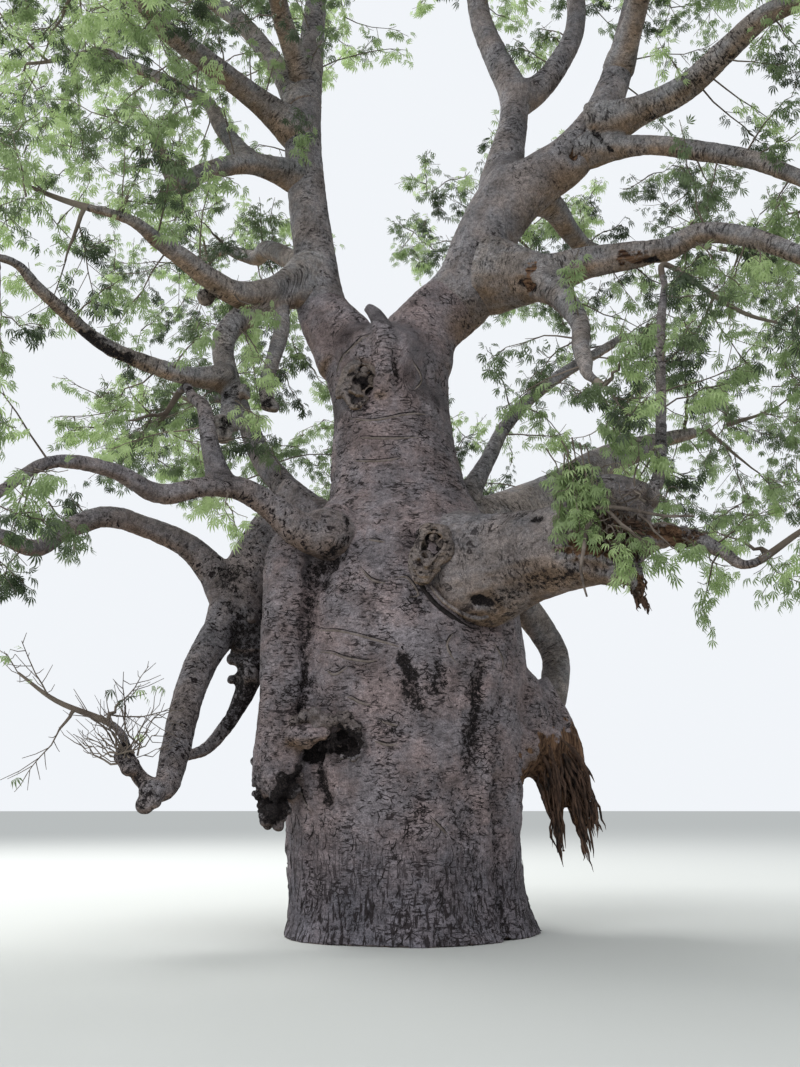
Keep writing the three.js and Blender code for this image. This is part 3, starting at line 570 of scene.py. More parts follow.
def relief_tree():
    """Geometry nodes that give a skin its relief: swells, lumps, wrinkles across the limb, pits."""
    inputs = {**dict.fromkeys(RELIEF_INPUTS, "Float"), "bark": "Material"}
    tree, add, stored, given = node_group("bark_relief", inputs)
    spot = add("GeometryNodeInputPosition").outputs[0]
    outward = add("GeometryNodeInputNormal").outputs[0]

    def times(a, b):
        return add("ShaderNodeMath", a, b, operation="MULTIPLY").outputs[0]

    def centred(vector, scale, detail, roughness=0.55):
        noise = add("ShaderNodeTexNoise", Vector=vector, Scale=scale, Detail=detail, Roughness=roughness)
        return add("ShaderNodeMath", noise.outputs["Fac"], 0.5, operation="SUBTRACT").outputs[0]

    def stretched(x, y, z):
        return add("ShaderNodeVectorMath", stored("limb_place", "FLOAT_VECTOR"), (x, y, z),
                   operation="MULTIPLY").outputs[0]

    girth = stored("girth")
    swell = times(times(centred(spot, given["swell_scale"], 2), given["swell_height"]), girth)
    lumps = times(centred(spot, given["lump_scale"], 4), given["lump_height"])
    wrinkles = times(times(centred(stretched(0.3, 0.3, 1), given["wrinkle_scale"], 3),
                           given["wrinkle_height"]), stored("wrinkle"))
    cells = add("ShaderNodeTexVoronoi", Vector=spot, Scale=given["pit_scale"])
    hollow = add("ShaderNodeMapRange", Value=cells.outputs["Distance"], From_Min=0.1, From_Max=0.32,
                 To_Min=-1.0, To_Max=0.0, interpolation_type="SMOOTHSTEP").outputs[0]
    sparse = add("ShaderNodeMapRange", Value=centred(spot, 1.7, 2), From_Min=-0.02,
                 From_Max=0.12).outputs[0]
    pits = times(times(hollow, given["pit_depth"]), sparse)
    fibres = times(times(centred(stretched(1, 1, 0.12), given["fibre_scale"], 3, 0.7),
                         given["fibre_height"]), stored("torn"))
    total = swell
    for part in (lumps, wrinkles, pits, fibres):
        total = add("ShaderNodeMath", total, part, operation="ADD").outputs[0]
    offset = add("ShaderNodeVectorMath", outward, operation="SCALE", Scale=total).outputs[0]
    moved = add("GeometryNodeSetPosition", Geometry=given["Geometry"], Offset=offset).outputs[0]
    finish_group(add, moved, given["bark"])
    return tree


def run_nodes(item, tree, values):
    """Puts a node tree on an object, sets its named inputs and makes the result a plain mesh."""
    modifier = item.modifiers.new(tree.name, "NODES")
    modifier.node_group = tree
    for entry in tree.interface.items_tree:
        if entry.in_out == "INPUT" and entry.name in values:
            modifier[entry.identifier] = values[entry.name]
    item.update_tag()
    plain_mesh(item).name = item.name


def bark_finish(name, cool, warm, tan, marks, stretch=(5.5, 13.0), cracked=1.0):
    """Baobab bark: pebbled grey, tan where it faces down, which is partly its own colour and partly painted
    shade, with curved dark cracks, dashes and fine grain.
    """
    material, add = blank_material(name)
    spot = add("ShaderNodeTexCoord").outputs["Object"]
    limb_place = add("ShaderNodeAttribute", attribute_name="limb_place").outputs["Vector"]

    def stored(attribute):
        return add("ShaderNodeAttribute", attribute_name=attribute).outputs["Fac"]

    def noise(vector, scale, detail=4, roughness=0.6, distortion=0.0):
        return add("ShaderNodeTexNoise", Vector=vector, Scale=scale, Detail=detail, Roughness=roughness,
                   Distortion=distortion).outputs["Fac"]

    def ramp(value, low, high, start=0.0, end=1.0):
        return add("ShaderNodeMapRange", Value=value, From_Min=low, From_Max=high, To_Min=start,
                   To_Max=end, interpolation_type="SMOOTHSTEP").outputs[0]

    def math_of(operation, *values):
        total = values[0]
        for value in values[1:]:
            total = add("ShaderNodeMath", total, value, operation=operation).outputs[0]
        return total

    def blend(factor, a, b):
        mix = add("ShaderNodeMix", data_type="RGBA")
        for index, value in ((0, factor), (6, a), (7, b)):
            if isinstance(value, bpy.types.NodeSocket):
                material.node_tree.links.new(value, mix.inputs[index])
            else:
                mix.inputs[index].default_value = value
        return mix.outputs[2]

    def stretched(x, y, z):
        return add("ShaderNodeVectorMath", limb_place, (x, y, z), operation="MULTIPLY").outputs[0]

    height = add("ShaderNodeSeparateXYZ", spot).outputs["Z"]
    low_down = ramp(height, 1.75, 0.35)
    colour = blend(ramp(noise(spot, 1.4, 6, 0.7), 0.36, 0.64), cool, warm)
    colour = blend(math_of("MULTIPLY", low_down, 0.6), colour, (0.12, 0.12, 0.145, 1))
    # where the skin faces down it turns tan and darker: partly the bark's own colour, partly painted shade
    colour = blend(math_of("MULTIPLY", ramp(stored("under"), 0.15, 0.85),
                           ramp(noise(spot, 2.5, 5), 0.3, 0.6, 0.4, 1.0)), colour, tan)
    round_it, along_it = stretch
    pebbles = noise(stretched(2.6 * round_it, 2.6 * round_it, 1.9 * along_it), 1.0, 5, 0.7, 0.5)
    grain = noise(spot, 58.0, 5, 0.85)
    value = math_of("MULTIPLY", ramp(noise(spot, 2.2, 5, 0.65), 0.3, 0.7, 0.66, 1.26),
                    ramp(pebbles, 0.36, 0.6, 0.66, 1.16), ramp(grain, 0.36, 0.62, 0.6, 1.36))
    shade = add("ShaderNodeVectorMath", colour, operation="SCALE", Scale=value).outputs[0]
    drift = add("ShaderNodeTexNoise", Vector=spot, Scale=5.0, Detail=3.0).outputs["Color"]
    drift = add("ShaderNodeVectorMath", drift, (1.1, 1.1, 1.1), operation="MULTIPLY").outputs[0]
    across = stretched(round_it, round_it, along_it)
    bent = add("ShaderNodeVectorMath", across, drift, operation="ADD").outputs[0]
    edges = add("ShaderNodeTexVoronoi", Vector=bent, Scale=1.0, feature="DISTANCE_TO_EDGE").outputs[0]
    cracks = math_of("MULTIPLY", cracked, ramp(edges, 0.07, 0.02),
                     ramp(noise(spot, 4.0, 3, 0.7), 0.54, 0.62))
    patchy = ramp(noise(spot, 1.9, 4, 0.6), 0.46, 0.56)
    flecks = noise(stretched(1.6 * round_it, 1.6 * round_it, 2.2 * along_it), 1.0, 4, 0.6, 0.9)
    dashes = math_of("MULTIPLY", ramp(flecks, 0.555, 0.6), patchy)
    upright = noise(stretched(22, 22, 4.5), 1.0, 3, 0.6, 0.6)
    fissures = math_of("MULTIPLY", ramp(upright, 0.52, 0.6), low_down)
    cells = add("ShaderNodeTexVoronoi", Vector=stretched(13, 13, 22), Scale=1.0).outputs["Distance"]
    pits = math_of("MULTIPLY", ramp(cells, 0.22, 0.1), ramp(noise(spot, 3.0, 2), 0.48, 0.58))
    dark = math_of("MULTIPLY", math_of("MAXIMUM", dashes, cracks, pits, fissures), marks)
    # stains, and the painted shade that marks put in creases and hollows, turn the bark near-black and
    # crumbly
    ragged = math_of("ADD", stored("stain"), math_of("MULTIPLY", noise(spot, 15.0, 6, 0.85), 1.7))
    stain = ramp(ragged, 1.28, 1.42)
    shade = blend(dark, shade, (0.022, 0.017, 0.018, 1))
    stain_and_shade_tone = blend(ramp(grain, 0.45, 0.62), (0.008, 0.007, 0.008, 1), (0.045, 0.036, 0.034, 1))
    shade = blend(stain, shade, stain_and_shade_tone)
    fibre = noise(stretched(22, 22, 1.6), 1.0, 4, 0.7)
    wood = blend(ramp(fibre, 0.35, 0.65), (0.03, 0.016, 0.011, 1), (0.24, 0.14, 0.085, 1))
    frayed = math_of("ADD", stored("torn"), math_of("MULTIPLY", noise(spot, 9.0, 5, 0.8), 1.2))
    shade = blend(ramp(frayed, 0.95, 1.15), shade, wood)
    wrinkles = noise(stretched(4.5, 4.5, 34), 1.0, 4, 0.6, 0.5)
    relief = math_of("ADD", math_of("MULTIPLY", wrinkles, stored("wrinkle"), 0.5),
                     math_of("MULTIPLY", grain, 0.4), math_of("MULTIPLY", pebbles, 0.7),
                     math_of("MULTIPLY", fibre, stored("torn"), 1.5),
                     math_of("MULTIPLY", dark, -0.6), math_of("MULTIPLY", stain, -0.3))
    bump = add("ShaderNodeBump", Strength=1.0, Distance=0.04, Height=relief).outputs[0]
    shader = add("ShaderNodeBsdfPrincipled", Base_Color=shade, Normal=bump,
                 Roughness=ramp(pebbles, 0.3, 0.7, 0.95, 0.78))
    shader.inputs["Specular IOR Level"].default_value = 0.1
    add("ShaderNodeOutputMaterial", Surface=shader.outputs[0])
    return material


def on_front(x, z):
    """A place on the front of the trunk's barrel."""
    half, shift = trunk_half(z)
    return [x, -math.sqrt(max(0.01, float(half)**2 - (x - float(shift))**2)), z]


def ripples(corners):
    """An uneven pattern between about -1 and 1, which makes the edges of marks ragged."""
    x, y, z = corners.T
    return (np.sin(13 * x + 2 * np.sin(7 * z)) * np.sin(11 * z + 3 * y) * 0.6
            + 0.4 * np.sin(31 * x + 23 * z) * np.sin(27 * z - 19 * x + 11 * y))


RAGGED = 0.45  # how far the ripples move a mark's edge, as a share of its size
WRINKLED = 0.6  # how strongly the trunk's skin is wrinkled, apart from its neck
NECK_WRINKLES, NECK_HEIGHT, NECK_SPREAD = 1.3, 6.9, 0.9
SOFT_ALL_OVER = 0.12
JUNCTION_GIRTHS, JUNCTION_MARGIN = 1.6, 0.25  # how far from a limb's root the skin is blended
PLACE_ROUNDS = 24  # how far the bark's pattern is evened out where a limb bends
FACING_ROUNDS = 4


def bark_piece(item, own, bark, with_trunk=False, marks=(), soft=0.5, rounds=6, relief=None):
    """Finishes a fused skin: blends its junctions, cuts its marks, keeps what the finish needs."""
    mesh = item.data
    corners, edges = read(mesh)
    weight = np.full(len(corners), SOFT_ALL_OVER)
    halfway = np.full(len(corners), 0.5)
    for limb in own:
        spread = JUNCTION_GIRTHS * limb["girth"] + JUNCTION_MARGIN
        away = np.linalg.norm(corners - limb["points"][0], axis=1) / spread
        weight = np.maximum(weight, soft * np.exp(-away**4))
    corners = soften(corners, edges, weight, rounds)
    write(mesh, corners)
    outward = normals_of(mesh)
    push = np.zeros(len(corners))
    stain = np.zeros(len(corners))
    torn = np.zeros(len(corners))
    ripple = 1 + RAGGED * ripples(corners)
    # each mark darkens the skin: a stain on some, painted shade in the creases and hollows of others
    for size, pushed, stained_and_shaded, bared, path in marks:
        path = [on_front(*point) if len(point) == 2 else point for point in path]
        gap = distance_to_path(corners, path) / size * ripple
        push += pushed * np.exp(-gap**2)
        stain = np.maximum(stain, stained_and_shaded * np.exp(-gap**4))
        torn = np.maximum(torn, bared * np.exp(-gap**4))
    corners = corners + outward * push[:, None]
    corners = soften(corners, edges, np.clip(np.abs(push) * 3, 0, 0.5), 2)
    write(mesh, corners)
    place, girth, plain = settle_on_limbs(corners, own, with_trunk)
    place = soften(place, edges, halfway, PLACE_ROUNDS)
    store(mesh, "limb_place", place, "FLOAT_VECTOR")
    store(mesh, "girth", girth)
    if with_trunk:
        above = (corners[:, 2] - NECK_HEIGHT) / NECK_SPREAD
        plain = plain * (WRINKLED + NECK_WRINKLES * np.exp(-above**2))
    store(mesh, "wrinkle", plain)
    store(mesh, "stain", np.clip(stain, 0, 1))
    store(mesh, "torn", np.clip(torn, 0, 1))
    # how far the skin faces down, which the finish paints tan and darker, partly as painted shade
    facing = soften(normals_of(mesh)[:, 2:3], edges, halfway, FACING_ROUNDS)
    store(mesh, "under", np.clip(-facing, 0, 1))
    run_nodes(item, bark_relief, {**RELIEF_INPUTS, "bark": bark, **(relief or {})})
    corners, _ = read(item.data)
    corners[:, 2] = np.maximum(corners[:, 2], 0)
    write(item.data, corners)
    item.data.polygons.foreach_set("use_smooth", np.ones(len(item.data.polygons), bool))
    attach(item, "root")
    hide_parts(*[limb["name"] for limb in own])


KNOB_EDGE = [
    [-0.68, -1.5, 5.35], [-0.66, -1.54, 5.1], [-0.75, -1.52, 4.9], [-0.95, -1.42, 4.75],
    [-1.08, -1.35, 4.7],
]
# A mark's row: size, how far it pushes the skin out, how dark it makes it (a stain on some marks, painted
# shade in the creases and hollows of others), how far it bares the torn wood, and its path. A point of two
# numbers is an x and a z on the front of the trunk.
TRUNK_MARKS = [
    # the column's crease, painted dark as shade, its stained streak, and the knob's edge, painted dark as
    # shade
    (0.1, -0.1, 0.52, 0, [(-1.08, -1.3, 5), (-1.17, -1.2, 4.5), (-1.22, -1.22, 4), (-1.24, -1.27, 3.5),
     (-1.19, -1.26, 3.2), (-1.24, -1.3, 2.8)]),
    (0.36, 0, 0.3, 0, [(-1.5, -1.2, 4.8), (-1.5, -1.2, 2.6)]),
    (0.14, -0.12, 0.62, 0, KNOB_EDGE),
    # the skin under the knob, painted dark as shade
    (0.12, -0.05, 0.5, 0, [(-0.98, -1.35, 4.68), (-1.02, -1.35, 4.45)]),
    # the crease round the great collar, painted dark as shade
    (0.08, -0.1, 0.5, 0, [(0.2, 5.1), (0.34, 4.62), (0.62, 4.25), (0.95, 3.93), (1.25, 3.93)]),
    # the burl's hollow, painted dark as shade
    (0.17, -0.22, 1, 0, [(-1.2, 2.36), (-0.72, 2.38)]),
    # the neck: its scar, its hollow painted dark as shade, folds and furrows
    (0.15, -0.16, 0.85, 0, [(-0.58, -0.86, 7.5), (-0.52, -0.88, 7.58)]),
    (0.09, 0.08, 0, 0, [(-0.95, -0.6, 7.6), (-0.85, -0.75, 7.85), (-0.62, -0.86, 7.95),
     (-0.42, -0.93, 7.8)]),
    (0.08, 0.07, 0, 0, [(-0.85, -0.72, 7.3), (-0.6, -0.85, 7.2), (-0.36, -0.9, 7.35), (-0.32, -0.92, 7.6)]),
    (0.06, -0.07, 0.45, 0, [(-0.9, -0.62, 8.25), (-0.75, -0.78, 8.12), (-0.5, -0.9, 8.1)]),
    (0.1, -0.05, 0.5, 0, [(-0.72, -0.8, 7.72), (-0.5, -0.9, 7.7)]),
    (0.07, -0.07, 0.5, 0, [(-0.12, -1, 8), (-0.08, -0.98, 7.75), (-0.02, -0.92, 7.6)]),
    (0.08, 0.05, 0, 0, [(0.1, -0.95, 7.95), (0.3, -0.88, 7.6), (0.2, -0.88, 7.3)]),
    (0.05, -0.05, 0.5, 0, [(0.42, -0.8, 7.9), (0.45, -0.72, 7.55)]),
    (0.06, -0.04, 0.35, 0, [(-0.6, -0.8, 7), (-0.3, -0.88, 6.95), (0.1, -0.9, 7.02)]),
    (0.09, -0.03, 0.5, 0, [(0.35, -0.75, 6.9), (0.52, -0.62, 6.75)]),
    # folds across the front
    (0.06, 0.04, 0, 0, [(-1.2, 3.84), (-0.77, 3.76), (-0.38, 3.65), (0, 3.56)]),
    (0.06, 0.04, 0, 0, [(-1.1, 3.5), (-0.7, 3.43), (-0.3, 3.38)]),
    # broken, darker bark down the front
    (0.1, -0.03, 0.42, 0, [(-0.7, 4.55), (-0.3, 4.42), (0.1, 4.36)]),
    (0.1, -0.03, 0.5, 0, [(0.15, 4.3), (0.3, 4.05)]),
    (0.15, -0.04, 0.46, 0, [(1.08, 3.3), (0.95, 3.1)]),
    (0.14, -0.06, 0.56, 0, [(1, 3.15), (0.98, 2.7), (0.95, 2.3)]),
    (0.17, -0.04, 0.46, 0, [(0.92, 2.4), (0.9, 2.05)]),
    (0.12, -0.03, 0.45, 0, [(1.3, 2.95), (1.25, 2.8)]),
    (0.13, -0.04, 0.6, 0, [(0.05, 3.4), (0.14, 3.25)]),
    (0.2, -0.05, 0.52, 0, [(0.12, 3.1), (0.2, 2.9)]),
    (0.15, -0.04, 0.5, 0, [(0.5, 3.3), (0.42, 3.05)]),
    (0.16, -0.03, 0.36, 0, [(-0.15, 2.55), (0.05, 2.5)]),
    (0.2, -0.03, 0.36, 0, [(0.1, 1.9), (0.18, 1.2)]),
    # furrows at the foot
    (0.26, -0.05, 0.4, 0, [(0.75, 1.75), (0.9, 1.1), (1, 0.4)]),
    (0.13, -0.1, 0.45, 0, [(1.25, 1.9), (1.3, 0.9), (1.35, 0.1)]),
    (0.12, -0.06, 0.3, 0, [(-1.15, 1.5), (-1.1, 0.4)]),
    # the column's foot and the burl's side
    (0.3, 0, 0.45, 0, [(-1.6, -1.2, 2.3), (-1.72, -1.15, 2), (-1.66, -1.1, 1.7)]),
    (0.09, -0.08, 0.6, 0, [(-1.05, 2.2), (-1, 1.9), (-0.9, 1.7)]),
    # the torn strips on the right
    (0.4, -0.05, 0.25, 1, [(1.75, -0.1, 2.3), (2.1, 0, 1.9), (2.25, 0, 1)]),
    (0.4, 0, 0.2, 1, [(2.25, 0.2, 2.4), (2.46, 0.2, 1.7), (2.58, 0.2, 0.92)]),
    (0.3, 0, 0.35, 0.9, [(2.1, -0.2, 2.3), (2.4, 0, 2.2)]),
    (0.2, 0, 0.4, 0, [(1.9, -0.4, 2.9), (2.2, -0.1, 2.75)]),
]
SCAR_COUNT = 30
SCAR_SEED = 7
TRUNK_TONES = [(0.215, 0.194, 0.208, 1), (0.245, 0.192, 0.19, 1), (0.22, 0.145, 0.1, 1)]
LEADER_STUB = 1.2

chance = np.random.RandomState(SCAR_SEED)
back_scars = []
for _ in range(SCAR_COUNT):  # old scars on the sides and back
    turn = math.radians(chance.uniform(-20, 200))
    z = chance.uniform(0.8, 7.6)
    half, shift = trunk_half(z)
    length = chance.uniform(0.15, 0.5)
    lean = chance.uniform(-0.25, 0.25)
    scar = [[float(shift) + half * math.cos(turn + k * length / half),
             half * math.sin(turn + k * length / half), z + k * lean * length] for k in (-0.5, 0, 0.5)]
    size, pushed, stained_and_shaded = chance.uniform(0.05, 0.12), chance.uniform(-0.08, 0.05), chance.uniform(0.2, 0.7)
    back_scars.append((size, pushed, stained_and_shaded, 0, scar))

grow(LEADERS)
bark_relief = relief_tree()
trunk_bark = bark_finish("old_bark", *TRUNK_TONES, 0.9)


def on_limb(name, fraction, way):
    """A place on a limb's surface, on the side that a way points to."""
    girth = girth_at(limbs[name]["girths"], fraction)[0]
    return curve_at(limbs[name]["points"], fraction)[0] + unit(np.array(way, float)) * girth


trunk_shells = [trunk_shell()]
trunk_shells += [strip_shell(points, girths) for points, girths in TRUNK_STRIPS]
trunk_shells += [lump_shell(middle, half) for middle, half in TRUNK_LUMPS]
leaders = list(limbs.values())
trunk_shells += [limb_shell(limb, stub=LEADER_STUB) for limb in leaders if not limb["parent"]]
trunk_item = fuse("trunk_skin", trunk_shells, TRUNK_VOXEL)
bark_piece(trunk_item, leaders, trunk_bark, with_trunk=True, soft=0.6, rounds=12,
           marks=TRUNK_MARKS + back_scars,
           relief={"lump_height": 0.035, "swell_height": 0.06, "wrinkle_height": 0.05, "pit_depth": 0.03})
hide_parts("trunk")


# Details that are too small for the trunk's skin have skins of their own, meshed more finely. The great
# knot is an old branch scar in front of the great bough's collar, healed over in rings of bark round a hole
# painted black as shade, with tan lips folded under it, whose tan is partly painted shade; another, on the
# neck, is half closed.
KNOT_PLACE = np.array([0.4, -1.74, 4.84])
KNOT_RINGS = [  # half width, half height, girth, how far out, and the arc in degrees
    (0.21, 0.27, 0.08, 0.02, 0, 360),
    (0.14, 0.18, 0.055, 0.1, 0, 360),
    (0.2, 0.34, 0.055, 0.06, 205, 335),
    (0.24, 0.42, 0.05, 0.02, 200, 320),
    (0.13, 0.24, 0.035, 0.14, 215, 330),
]
NECK_SCAR_PLACE = np.array([-0.54, -0.84, 7.5])
NECK_SCAR_RINGS = [
    (0.15, 0.17, 0.055, 0.02, 0, 360),
    (0.26, 0.27, 0.06, -0.02, 20, 250),
    (0.34, 0.36, 0.05, -0.07, 60, 215),
    (0.2, 0.36, 0.04, 0.0, 220, 320),
]
KNOT_STEPS = 30
KNOT_TILT = 0.25
FINE_VOXEL = 0.014
CRUST_TONES = [(0.15, 0.138, 0.145, 1), (0.175, 0.145, 0.138, 1), (0.1, 0.075, 0.063, 1)]
KNOT_TONES = [(0.17, 0.153, 0.155, 1), (0.22, 0.178, 0.155, 1), (0.2, 0.135, 0.085, 1)]
DETAIL_RELIEF = {"lump_scale": 12.0, "lump_height": 0.03, "wrinkle_height": 0.015}


def ring_shell(middle, half_wide, half_tall, girth, begin, end):
    """A round sweep along an arc of an egg that faces the front, tilted a little to the left."""
    turns = np.radians(np.linspace(begin, end + 8 * (end - begin == 360), KNOT_STEPS))
    wobble = 1 + 0.07 * np.sin(3 * turns + 20 * girth)
    places = np.stack([half_wide * np.cos(turns) * wobble + KNOT_TILT * half_tall * np.sin(turns),
                       0 * turns, half_tall * np.sin(turns) * wobble], 1)
    return tube_shell(middle + places, girth * (1 + 0.22 * np.sin(5 * turns + 9)), 12)


def ball_shell(middle, radius):
    return lump_shell(middle, (radius, radius, radius))


def detail(name, shells, marks, bark, voxel=FINE_VOXEL, rounds=3):
    """A finely meshed piece of bark that is seated in the trunk's skin."""
    item = fuse(name, shells, voxel)
    bark_piece(item, [], bark, with_trunk=True, marks=marks, rounds=rounds, relief=DETAIL_RELIEF)
    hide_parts("trunk")


def knot_shells(middle, rings, ball):
    """A scar's rings of healed bark, with a ball behind them that closes the hole."""
    shells = [ring_shell(middle - np.array([0, out, 0]), wide, tall, girth, begin, end)
              for wide, tall, girth, out, begin, end in rings]
    return shells + [ball_shell(middle + np.array([0, 0.05, 0]), ball)]


def around(middle, offsets):
    return np.array(middle) + np.array(offsets)


knot_bark = bark_finish("knot_bark", *KNOT_TONES, marks=0.8, stretch=(7.0, 9.5))
crust_bark = bark_finish("crust_bark", *CRUST_TONES, marks=1.0, stretch=(9.0, 9.5))
detail("great_knot", knot_shells(KNOT_PLACE, KNOT_RINGS, 0.16), [
    # the hole, painted black as shade
    (0.1, -0.16, 0.9, 0, around(KNOT_PLACE, [(0.02, -0.12, 0.08), (0, -0.12, -0.02)])),
    (0.07, -0.03, 0.62, 0, around(KNOT_PLACE, [(-0.2, -0.06, 0.22), (-0.3, -0.02, 0.05), (-0.28, 0, -0.15),
     (-0.2, 0, -0.32)])),
    (0.035, -0.03, 0.5, 0, around(KNOT_PLACE, [(-0.12, -0.12, -0.22), (0.12, -0.12, -0.22)])),
    (0.03, -0.03, 0.5, 0, around(KNOT_PLACE, [(-0.14, -0.1, -0.33), (0.08, -0.1, -0.34)])),
], knot_bark)
detail("neck_scar", knot_shells(NECK_SCAR_PLACE, NECK_SCAR_RINGS, 0.14), [
    # the hole, painted black as shade
    (0.11, -0.16, 0.9, 0, around(NECK_SCAR_PLACE, [(-0.02, -0.06, 0.05), (0.05, -0.06, -0.06)])),
    (0.05, -0.03, 0.55, 0, around(NECK_SCAR_PLACE, [(-0.2, -0.04, 0.1), (0, -0.04, 0.22),
     (0.2, -0.06, 0.1)])),
    (0.05, 0, 0.5, 0, around(NECK_SCAR_PLACE, [(-0.12, -0.02, -0.28), (0.1, -0.04, -0.3)])),
], knot_bark, voxel=0.016)


# Burl, torn foot and collar: lumpy healed bark. The burl is a grey lip over a crumbling hollow, painted black
# as shade, beside the column, the column's foot is torn off dark and ragged, and a thin tan lip folds over
# the trunk under the great bough's collar. Clusters of seeded balls, fused.
BURL_LIP = [
    [-1.38, -1.4, 2.52], [-1.15, -1.55, 2.68], [-0.9, -1.64, 2.7], [-0.68, -1.68, 2.64],
    [-0.56, -1.66, 2.5],
]
BURL_HOLLOW = [
    [-1.36, -1.36, 2.4], [-1.1, -1.5, 2.42], [-0.86, -1.56, 2.38], [-0.62, -1.6, 2.4],
]
COLUMN_FOOT = [
    [-1.32, -1.22, 2.12], [-1.46, -1.3, 1.9], [-1.5, -1.24, 1.6], [-1.6, -1.2, 1.52], [-1.76, -1.08, 1.8],
    [-1.84, -1, 2.2],
]
COLLAR_LIP = [
    [0.2, -1.66, 4.72], [0.3, -1.7, 4.5], [0.5, -1.66, 4.22], [0.72, -1.63, 4.05], [0.96, -1.6, 3.95],
    [1.14, -1.56, 3.98],
]
COLLAR_GIRTHS = [0.012, 0.018, 0.022, 0.028, 0.04, 0.025]
BURL_EDGE = [
    [-0.5, -1.68, 2.56], [-0.47, -1.68, 2.4], [-0.56, -1.67, 2.26], [-0.7, -1.66, 2.2],
]
LUMP_SEED = 21


def cluster(chance, path, count, spread, radii):
    """Balls of seeded sizes scattered along a path."""
    places = curve_at(path, chance.rand(count)) + chance.normal(0, spread, (count, 3))
    return [ball_shell(place, chance.uniform(*radii)) for place in places]


chance = np.random.RandomState(LUMP_SEED)
burl_shells = cluster(chance, BURL_LIP, 70, 0.04, (0.035, 0.085))
burl_shells += cluster(chance, BURL_HOLLOW, 110, 0.05, (0.018, 0.04))
burl_shells += cluster(np.random.RandomState(LUMP_SEED + 1), BURL_EDGE, 26, 0.03, (0.03, 0.055))
detail("burl", burl_shells, [
    # the hollow, painted black as shade
    (0.17, -0.03, 0.95, 0, around([0, -0.1, -0.02], BURL_HOLLOW)),
    (0.12, 0, 0.32, 0, around([0, 0, 0.03], BURL_LIP)),
    (0.1, 0, 0.5, 0, BURL_EDGE),
], crust_bark, voxel=0.015, rounds=2)
foot_shells = cluster(chance, COLUMN_FOOT, 120, 0.06, (0.03, 0.085))
detail("column_foot", foot_shells, [
    (0.2, 0, 0.72, 0, [(-1.36, -1.3, 1.98), (-1.5, -1.4, 1.8), (-1.55, -1.35, 1.55), (-1.7, -1.2, 1.62)]),
    (0.15, 0, 0.5, 0, [(-1.8, -1.1, 2.1), (-1.85, -1, 2.3)]),
], crust_bark, voxel=0.017, rounds=2)
detail("collar_lip", [strip_shell(COLLAR_LIP, COLLAR_GIRTHS)], [
    (0.07, -0.05, 0.8, 0, [(0.98, -1.7, 4.06), (1.1, -1.66, 4.06)]),
], knot_bark)


# Cracks, folds and flecks: thin dark breaks in the bark, in the clusters where the real bark is
# broken, with raised grey lips under the long ones. Tapered three-sided sweeps laid on the skin.
LONG_CRACKS = [  # x and z of the points on the front of the trunk
    [(-1.27, 3.92), (-1, 3.88), (-0.77, 3.83), (-0.38, 3.72), (-0.06, 3.62), (0.02, 3.58)],
    [(-1.16, 3.58), (-0.88, 3.56), (-0.7, 3.5), (-0.42, 3.43), (-0.22, 3.46)],
    [(-0.72, 3), (-0.58, 2.97), (-0.48, 2.9), (-0.3, 2.87)], [(-0.55, 4.66), (-0.35, 4.5), (-0.15, 4.46)],
    [(-0.1, 4.5), (0.05, 4.52), (0.2, 4.4), (0.24, 4.3), (0.12, 4.26)],
    [(-0.95, 3.35), (-0.8, 3.28), (-0.66, 3.36)], [(-0.5, 5.05), (-0.3, 5.03), (-0.2, 5.02)],
    [(-0.28, 2.72), (-0.12, 2.62), (0.02, 2.6)], [(-0.36, 2.45), (-0.16, 2.4), (0, 2.38)],
    [(0.7, 3.8), (0.6, 3.6), (0.72, 3.38)], [(1.2, 3.72), (1.36, 3.5), (1.34, 3.3)],
    [(0.33, 1.55), (0.5, 1.38), (0.6, 1.3)], [(-1.3, 2), (-1.22, 1.75), (-1.14, 1.6)],
    [(-0.8, 7.1), (-0.4, 6.98), (0.1, 7.02), (0.5, 7.1)], [(-0.7, 6.75), (-0.2, 6.66), (0.4, 6.7)],
    [(-0.75, 6.4), (-0.3, 6.32), (0.1, 6.36)], [(0.15, 7.9), (0.3, 7.6), (0.18, 7.35)],
    [(-0.95, 7.75), (-0.85, 8), (-0.6, 8.2), (-0.4, 8.25)],
]
COLLAR_CRACK = [(0.1, 4.95), (0.13, 4.7), (0.24, 4.44), (0.42, 4.17), (0.66, 3.98), (0.94, 3.87), (1.16, 3.9)]
CRACK_CLUSTERS = [  # middle x and z, half width, half height, count
    (-1, 4.35, 0.26, 0.2, 46), (-0.72, 4.4, 0.2, 0.16, 44), (-0.35, 4.3, 0.3, 0.12, 24),
    (0.08, 4.1, 0.12, 0.14, 30), (0.13, 3.2, 0.2, 0.4, 90), (0.5, 3.2, 0.16, 0.24, 44),
    (1, 2.7, 0.16, 0.75, 110), (1.3, 3, 0.12, 0.3, 24), (-1.45, 3, 0.2, 0.25, 40),
    (-1.45, 4.2, 0.25, 0.6, 40), (-0.2, 2.6, 0.25, 0.16, 30), (0.2, 1.65, 0.25, 0.4, 60),
    (0.8, 1.5, 0.3, 0.45, 80), (1.25, 2.1, 0.25, 0.4, 40), (-0.9, 2.95, 0.25, 0.15, 24),
    (0.9, 3.75, 0.4, 0.14, 40), (-0.3, 7.6, 0.3, 0.35, 50), (0.35, 6.7, 0.2, 0.2, 24),
    (-0.3, 6.4, 0.5, 0.4, 30), (0.3, 8.6, 0.35, 0.4, 30),
]
FORWARD, UP = np.array([0.0, 1.0, 0.0]), np.array([0.0, 0.0, 1.0])
DASH_LENGTH = (0.03, 0.12)
DASH_GIRTH = (0.006, 0.017)
